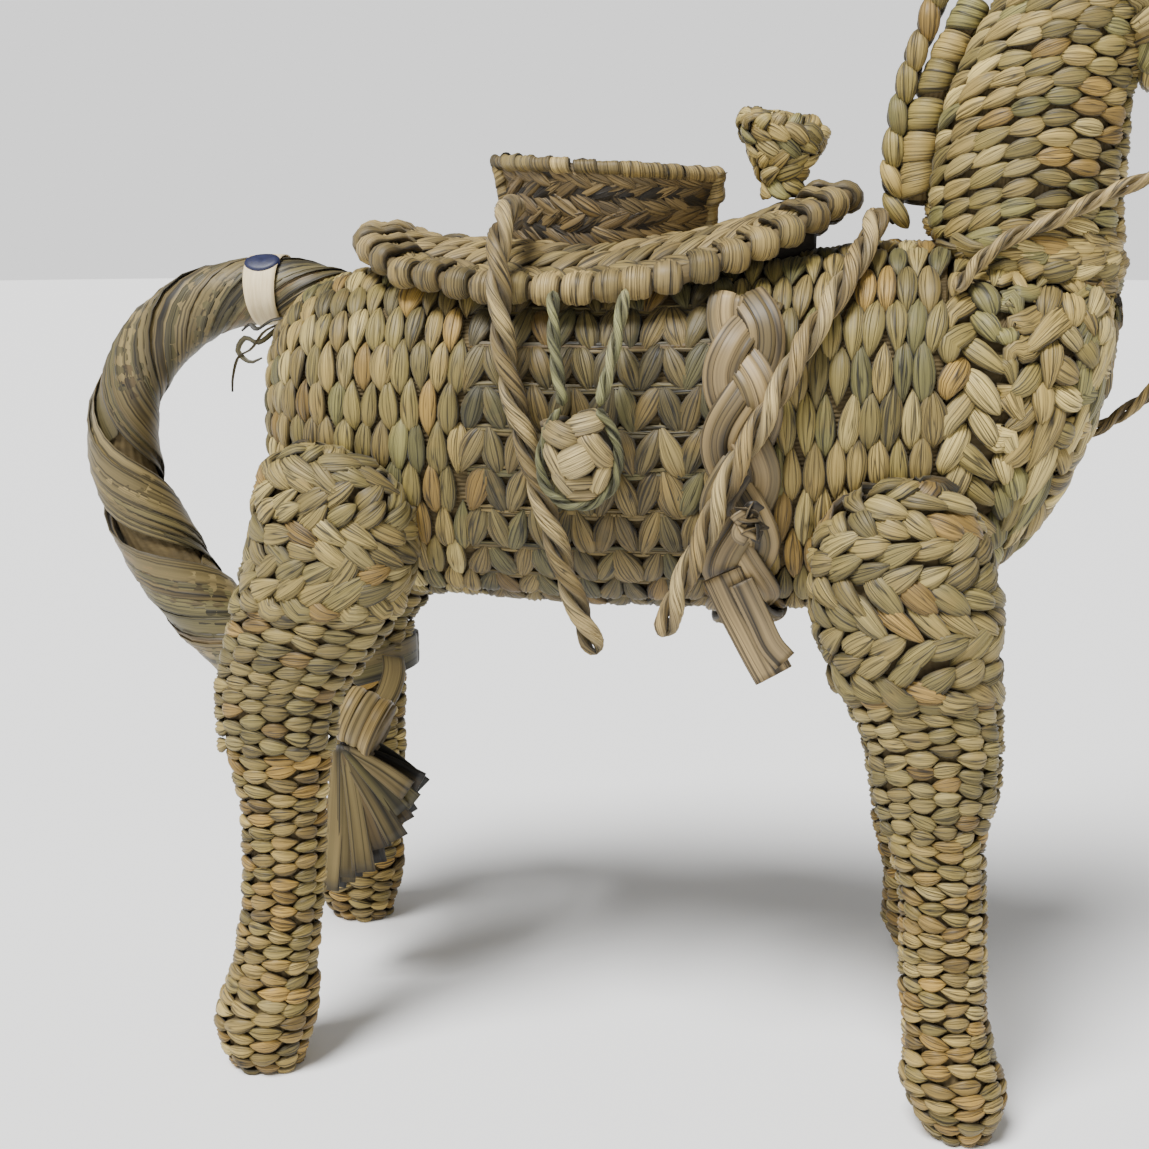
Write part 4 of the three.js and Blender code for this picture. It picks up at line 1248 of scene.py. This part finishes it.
def rim_line():
    """The middle line of the rim, all the way round the mat's edge, and its outward directions."""
    edges = np.concatenate([mat_top.rings[0], mat_top.rings[-1][::-1]])
    under = np.concatenate([mat_under.rings[0], mat_under.rings[-1][::-1]])
    line = (edges + under) / 2
    line = resample(np.vstack([line, line[:1]]), 361)[:-1]
    tangent = unit(np.roll(line, -2, 0) - np.roll(line, 2, 0))
    outward = unit(np.cross(tangent, (0, 0, 1)))
    if (outward * (line - line.mean(0))).sum() < 0:
        outward = -outward
    return line, outward


def saddle_rim():
    """Wrapped beads along the rim: each leaf starts on the mat, arches over the rim and tucks under."""
    rng = seeded("rim")
    line, outward = rim_line()
    step = distances(np.vstack([line, line[:1]]))
    count = int(round(step[-1] / RIM_PITCH))
    at = (np.arange(count) + 0.5) / count * len(line)
    middle = line[at.astype(int)] + outward[at.astype(int)] * RIM_OUT
    way = outward[at.astype(int)]
    section = [
        (-19, 2.4), (-12, 5.4), (-5, 4.2), (1, 3.8), (3.8, 2), (4.2, -0.8), (2.6, -3.2), (-1.2, -3.8),
        (-4.4, -3),
    ]
    shape = spline([(x, 0, z) for x, z in section], 19)
    centres = middle[:, None] + way[:, None] * shape[None, :, :1] + UP * shape[None, :, 2:]
    arc = unit(np.gradient(shape, axis=0))
    normals = way[:, None] * -arc[None, :, 2:] + UP * arc[None, :, :1]
    normals = np.where((normals * (centres - middle[:, None])).sum(-1, keepdims=True) < 0, -normals, normals)
    share = np.linspace(0, 1, 19)
    half = np.interp(share, [0, 0.2, 0.36, 0.46, 0.8, 1], [1.6, 5.6, 4.2, 6.2, 6.2, 5.2])
    half = half * rng.uniform(0.92, 1.08, (count, 1))
    top = np.interp(share, [0, 0.2, 0.36, 0.5, 0.8, 1], [0.8, 2.6, 1.6, 3.6, 3.4, 2])
    top = np.broadcast_to(top, half.shape)
    centres = centres + rng.normal(0, 0.35, (count, 1, 3))
    points = strands(centres, normals, half, top, top, rng, 0.14, 0.95)
    finish_bundle("rim_wraps", Bundle().add(points, "mat", rng), "saddle_rim", "coarse_braid")
    heart = tube_ring(line + outward * RIM_OUT, outward, RIM_HEART)
    place("rim_heart", mesh_of("rim_heart", *heart), "saddle_rim", "coarse_braid", "warp")


def tube_ring(line, outward, radius, sides=14):
    """A closed round ring along a closed line."""
    angles = turns(sides)[:, None]
    points = line[:, None] + radius * (outward[:, None] * np.cos(angles) + UP * np.sin(angles))
    index = numbered(len(line), sides)
    after, forward = np.roll(index, -1, 1), np.roll(index, -1, 0)
    quads = np.stack([index, after, np.roll(forward, -1, 1), forward], -1).reshape(-1, 4)
    return points.reshape(-1, 3), [quads]


saddle_rim()

CANTLE_PLAN = np.array([(-57, 10), (-16, -42), (32, 10)], float)
CANTLE_TOP, CANTLE_FLARE = (405, 399), 6.5


def cantle():
    """The upright band behind the rider: one layer of leaves in rows that lean by turns."""
    t = np.linspace(0, 1, 60)[:, None]
    a, b, c = CANTLE_PLAN
    plan = a * (1 - t) ** 2 + 2 * b * t * (1 - t) + c * t**2
    away = unit(np.column_stack([np.gradient(plan[:, 1]), -np.gradient(plan[:, 0])]))
    away *= np.sign((away * (plan - [-10, 40])).sum(1, keepdims=True))
    base = sheet_heights("saddle_mat", plan[:, 0], plan[:, 1]) + 0.5
    top = np.linspace(*CANTLE_TOP, 60)
    rings = []
    for share in np.linspace(0, 1, 12):
        out = plan + away * CANTLE_FLARE * share
        rings.append(np.column_stack([out, base + (top - base) * share]))
    return Skin(np.array(rings), False, np.column_stack([away, np.zeros(60)]))


def cantle_pieces():
    rng = seeded("cantle")
    skin = cantle()
    back = Skin(skin.rings - skin.normals * 1.4, False, -skin.normals)
    slab("cantle_warp", skin, back, "cantle_band", 0)
    rows = 5
    cells = []
    for row in range(rows):
        u = (row + 0.5) * skin.length / rows
        around = float(skin.around(u))
        count = int(around / 10.5)
        v = (np.arange(count) + 0.5 + 0.25 * (row % 2)) / count
        lean = 0.42 * (1 if row % 2 else -1)
        cells.append(spread(u, v, 10.5 * math.sin(lean), 10.5 * math.cos(lean) / around, 4.1, 1.5, 0.9))
    cells = jitter(np.concatenate(cells), rng, 0.5, 0.7, 0.1)
    bundle = Bundle()
    for face in (skin, back):
        bundle.add(lay(face, cells, rng, point=0.6, thick=2.2, dive=0.5), "cantle", rng)
    finish_bundle("cantle_leaves", bundle, "cantle_band", "coarse_braid")
    for part, u, v in (
        ("top", np.full(40, skin.length), np.linspace(0, 1, 40)),
        ("left", np.linspace(0.5, skin.length, 12), np.zeros(12)),
        ("right", np.linspace(0.5, skin.length, 12), np.ones(12)),
    ):
        edge, _ = skin.at(u, v)
        tube = tube_skin(edge, [2.4] * len(edge), 40, 20, (0.3, 1, 0.2))
        wrapped(f"cantle_{part}_wraps", tube, jitter(wraps(tube, 10, 3.2, 1.2), seeded(part), 0.5, 1),
                "cantle_band", "coarse_braid", "mat", thick=1.8, point=0.12, folds=0.2)


cantle_pieces()

horn = outer_skin("saddle_horn", (0, 0, 1), (0, 1, 0), 24, 60, cap_high=True)
core("horn_warp", horn, "saddle_horn", 2.4, 24, slot="coarse_braid")
horn_cells = jitter(plaits(horn, 0, horn.length - 3, 4, 14, 3.6, lean=34), seeded("horn"), 0.4, 0.8, 0.1)
weave("horn_leaves", horn, horn_cells, "saddle_horn", "coarse_braid", "weave", point=0.5, thick=2, dive=1.6)


# ------------------------------------------------------------------ girth

GIRTH_X, GIRTH_SWING, GIRTH_TURN, GIRTH_SHARE = 56, 9, 80, 0.385


def girth():
    """A flat three-strand braid under the barrel, from one side of the saddle to the other."""
    rng = seeded("girth")
    u_mid = barrel.u_at(GIRTH_X, 0)
    around = float(barrel.around(u_mid))
    length = 2 * GIRTH_SHARE * around
    stations = int(length / 2.2)
    q = np.linspace(0, length, stations)
    v = -GIRTH_SHARE + q / around
    bundle = Bundle(tip=0, edge=0.9)
    for strand in range(3):
        phase = 2 * np.pi * (q / GIRTH_TURN + strand / 3)
        points, normals = barrel.at(u_mid + GIRTH_SWING * np.sin(phase), v)
        height = 3.4 + 2.6 * np.sin(2 * phase)
        along = np.gradient(points, axis=0)
        across = unit(np.cross(normals, along))
        for leaf, aside in enumerate((-4.4, 0, 4.4)):
            centre = points + normals * (height + 1.1 * (leaf == 1))[:, None] + across * aside
            bundle.leaf(centre, normals, 3.3 + 0.7 * (leaf == 1), 2.2, 2.2, "girth", rng, 0.3, 0.7)
    finish_bundle("girth_plait", bundle, "girth_braid", "flat_leaf")


girth()

KNOT_MIDDLE, KNOT_SIZE = np.array([62, -78.9, 262]), np.array([7, 5, 12])


def ball(middle, size):
    """An egg-shaped skin."""
    polar = np.linspace(0.12, np.pi - 0.12, 18)[:, None]
    turn = turns(28)[None]
    x, y = np.sin(polar) * np.cos(turn), np.sin(polar) * np.sin(turn)
    shape = np.stack([x, y, -np.cos(polar) * np.ones_like(turn)], -1)
    return Skin(middle + shape * size)


def girth_knot():
    """Short torn leaf ends tucked into the girth."""
    rng = seeded("knot")
    routes = []
    for k in range(16):
        start = KNOT_MIDDLE + rng.uniform(-0.45, 0.45, 3) * KNOT_SIZE
        way = unit(rng.normal(size=3) * [1, 0.4, 1]) * rng.uniform(6, 10)
        bend = rng.normal(size=3) * [1.5, 0.8, 1.5]
        routes.append([start - way * 0.5, start + bend + [0, -2.5, 0], start + way * 0.6])
    shreds("girth_knot_shreds", routes, 2.6, "girth_knot", "girth")


girth_knot()


def loose_end():
    """The girth's spare end: a wide leaf that hangs, and folds back on itself."""
    rng = seeded("loose")
    routes = [
        [(49, -65.5, 236), (54.5, -62, 223), (60.5, -62, 212), (66.5, -62, 201), (71.5, -61, 192)],
        [(57, -66, 233), (65, -63.5, 216), (70, -63.5, 206), (76, -62.5, 199)],
    ]
    bundle = Bundle(tip=0.1, edge=0.6)
    for route, width in zip(routes, (8.6, 5.4)):
        bundle.leaf(spline(route, 16), (0.1, -1, 0.1), width, 0.8, 0.8, "girth", rng, 0.1, 0.6)
    finish_bundle("girth_loose_leaves", bundle, "girth_loose_end", "flat_leaf")


loose_end()


# ------------------------------------------------------------------ stirrups

# Leaf wraps of the knot: middle x, height, half reach, half width, direction in degrees, lift.
KNOT_LEAVES = [
    (-9, -1.5, 8.5, 4.2, -62, 0.4), (9, -8.5, 6.5, 4, 68, 0.4), (-5.5, -10.5, 6.5, 3.6, -50, 0.2),
    (1.7, -15, 6, 3.4, 5, 0.2), (1, -9.5, 6, 3.2, 4, 1.6), (2.4, 13.7, 7.4, 5.2, 14, 1.2),
    (7.5, 4.4, 8.6, 5, -50, 2), (-6.6, 9.4, 8.6, 5.2, -22, 2.6), (0, -0.8, 7.6, 6.6, 26, 4.2),
]


def stirrup(label, side):
    """An interlaced knot of broad pale leaves, with a cord looped round it."""
    rng = seeded(f"{label}_stirrup")
    node = f"{label}_stirrup"
    low, high = box_of(node)
    middle = (low + high) / 2
    size = np.array([12.5, 8.5, 17])
    bundle = Bundle()
    t = eased(15)
    for face in (NEAR, FAR):
        for x, z, reach, half, turn, lift in KNOT_LEAVES:
            way = np.array([math.cos(math.radians(turn)), math.sin(math.radians(turn))])
            plane = np.array([x, z]) + way * reach * t[:, None]
            inside = np.clip(1 - (plane[:, 0] / 17) ** 2 - (plane[:, 1] / 21) ** 2, 0, 1)
            out = size[1] * np.sqrt(inside) + lift * (1 - t**2) - 3.4 * t**4
            centre = middle + np.column_stack([plane[:, 0], face * out, plane[:, 1]])
            normals = unit(np.column_stack([plane[:, 0] / 17, face * (out / 9 + 0.3), plane[:, 1] / 21]))
            width = half * np.maximum(1 - t**6, 0.3)
            bundle.leaf(centre, normals, width, 2.6, 2.6, "cream", rng, 0.22, 0.9)
    finish_bundle(f"{node}_knot", bundle, node, "cream_braid")
    core(f"{node}_heart", ball(middle, size - 1.5), node, 0.5, 12, slot="cream_braid")
    loop = [(7.5, 20), (12, 14), (15.5, 6), (16, -4), (13, -13), (5, -19), (-4, -19.5), (-12, -15),
            (-16, -6), (-15, 5), (-11, 14), (-7.5, 20)]
    route = [middle + [x, side * (6.5 - 0.16 * abs(x)), z] for x, z in loop]
    bundle, _ = plies(route, 2.1, 24, "green", rng)
    finish_bundle(f"{node}_cord_loop", bundle, node, "green_cord")


for label, side in SIDES.items():
    stirrup(label, side)


# ------------------------------------------------------------------ what lies inside

for node in frame["nodes"]:
    if node.endswith("_wire") or node == "straw_stuffing":
        piece = frame["nodes"][node]
        slot = "stuffing" if node == "straw_stuffing" else "wire"
        piece.data.materials.clear()
        piece.data.materials.append(MATERIALS[slot])
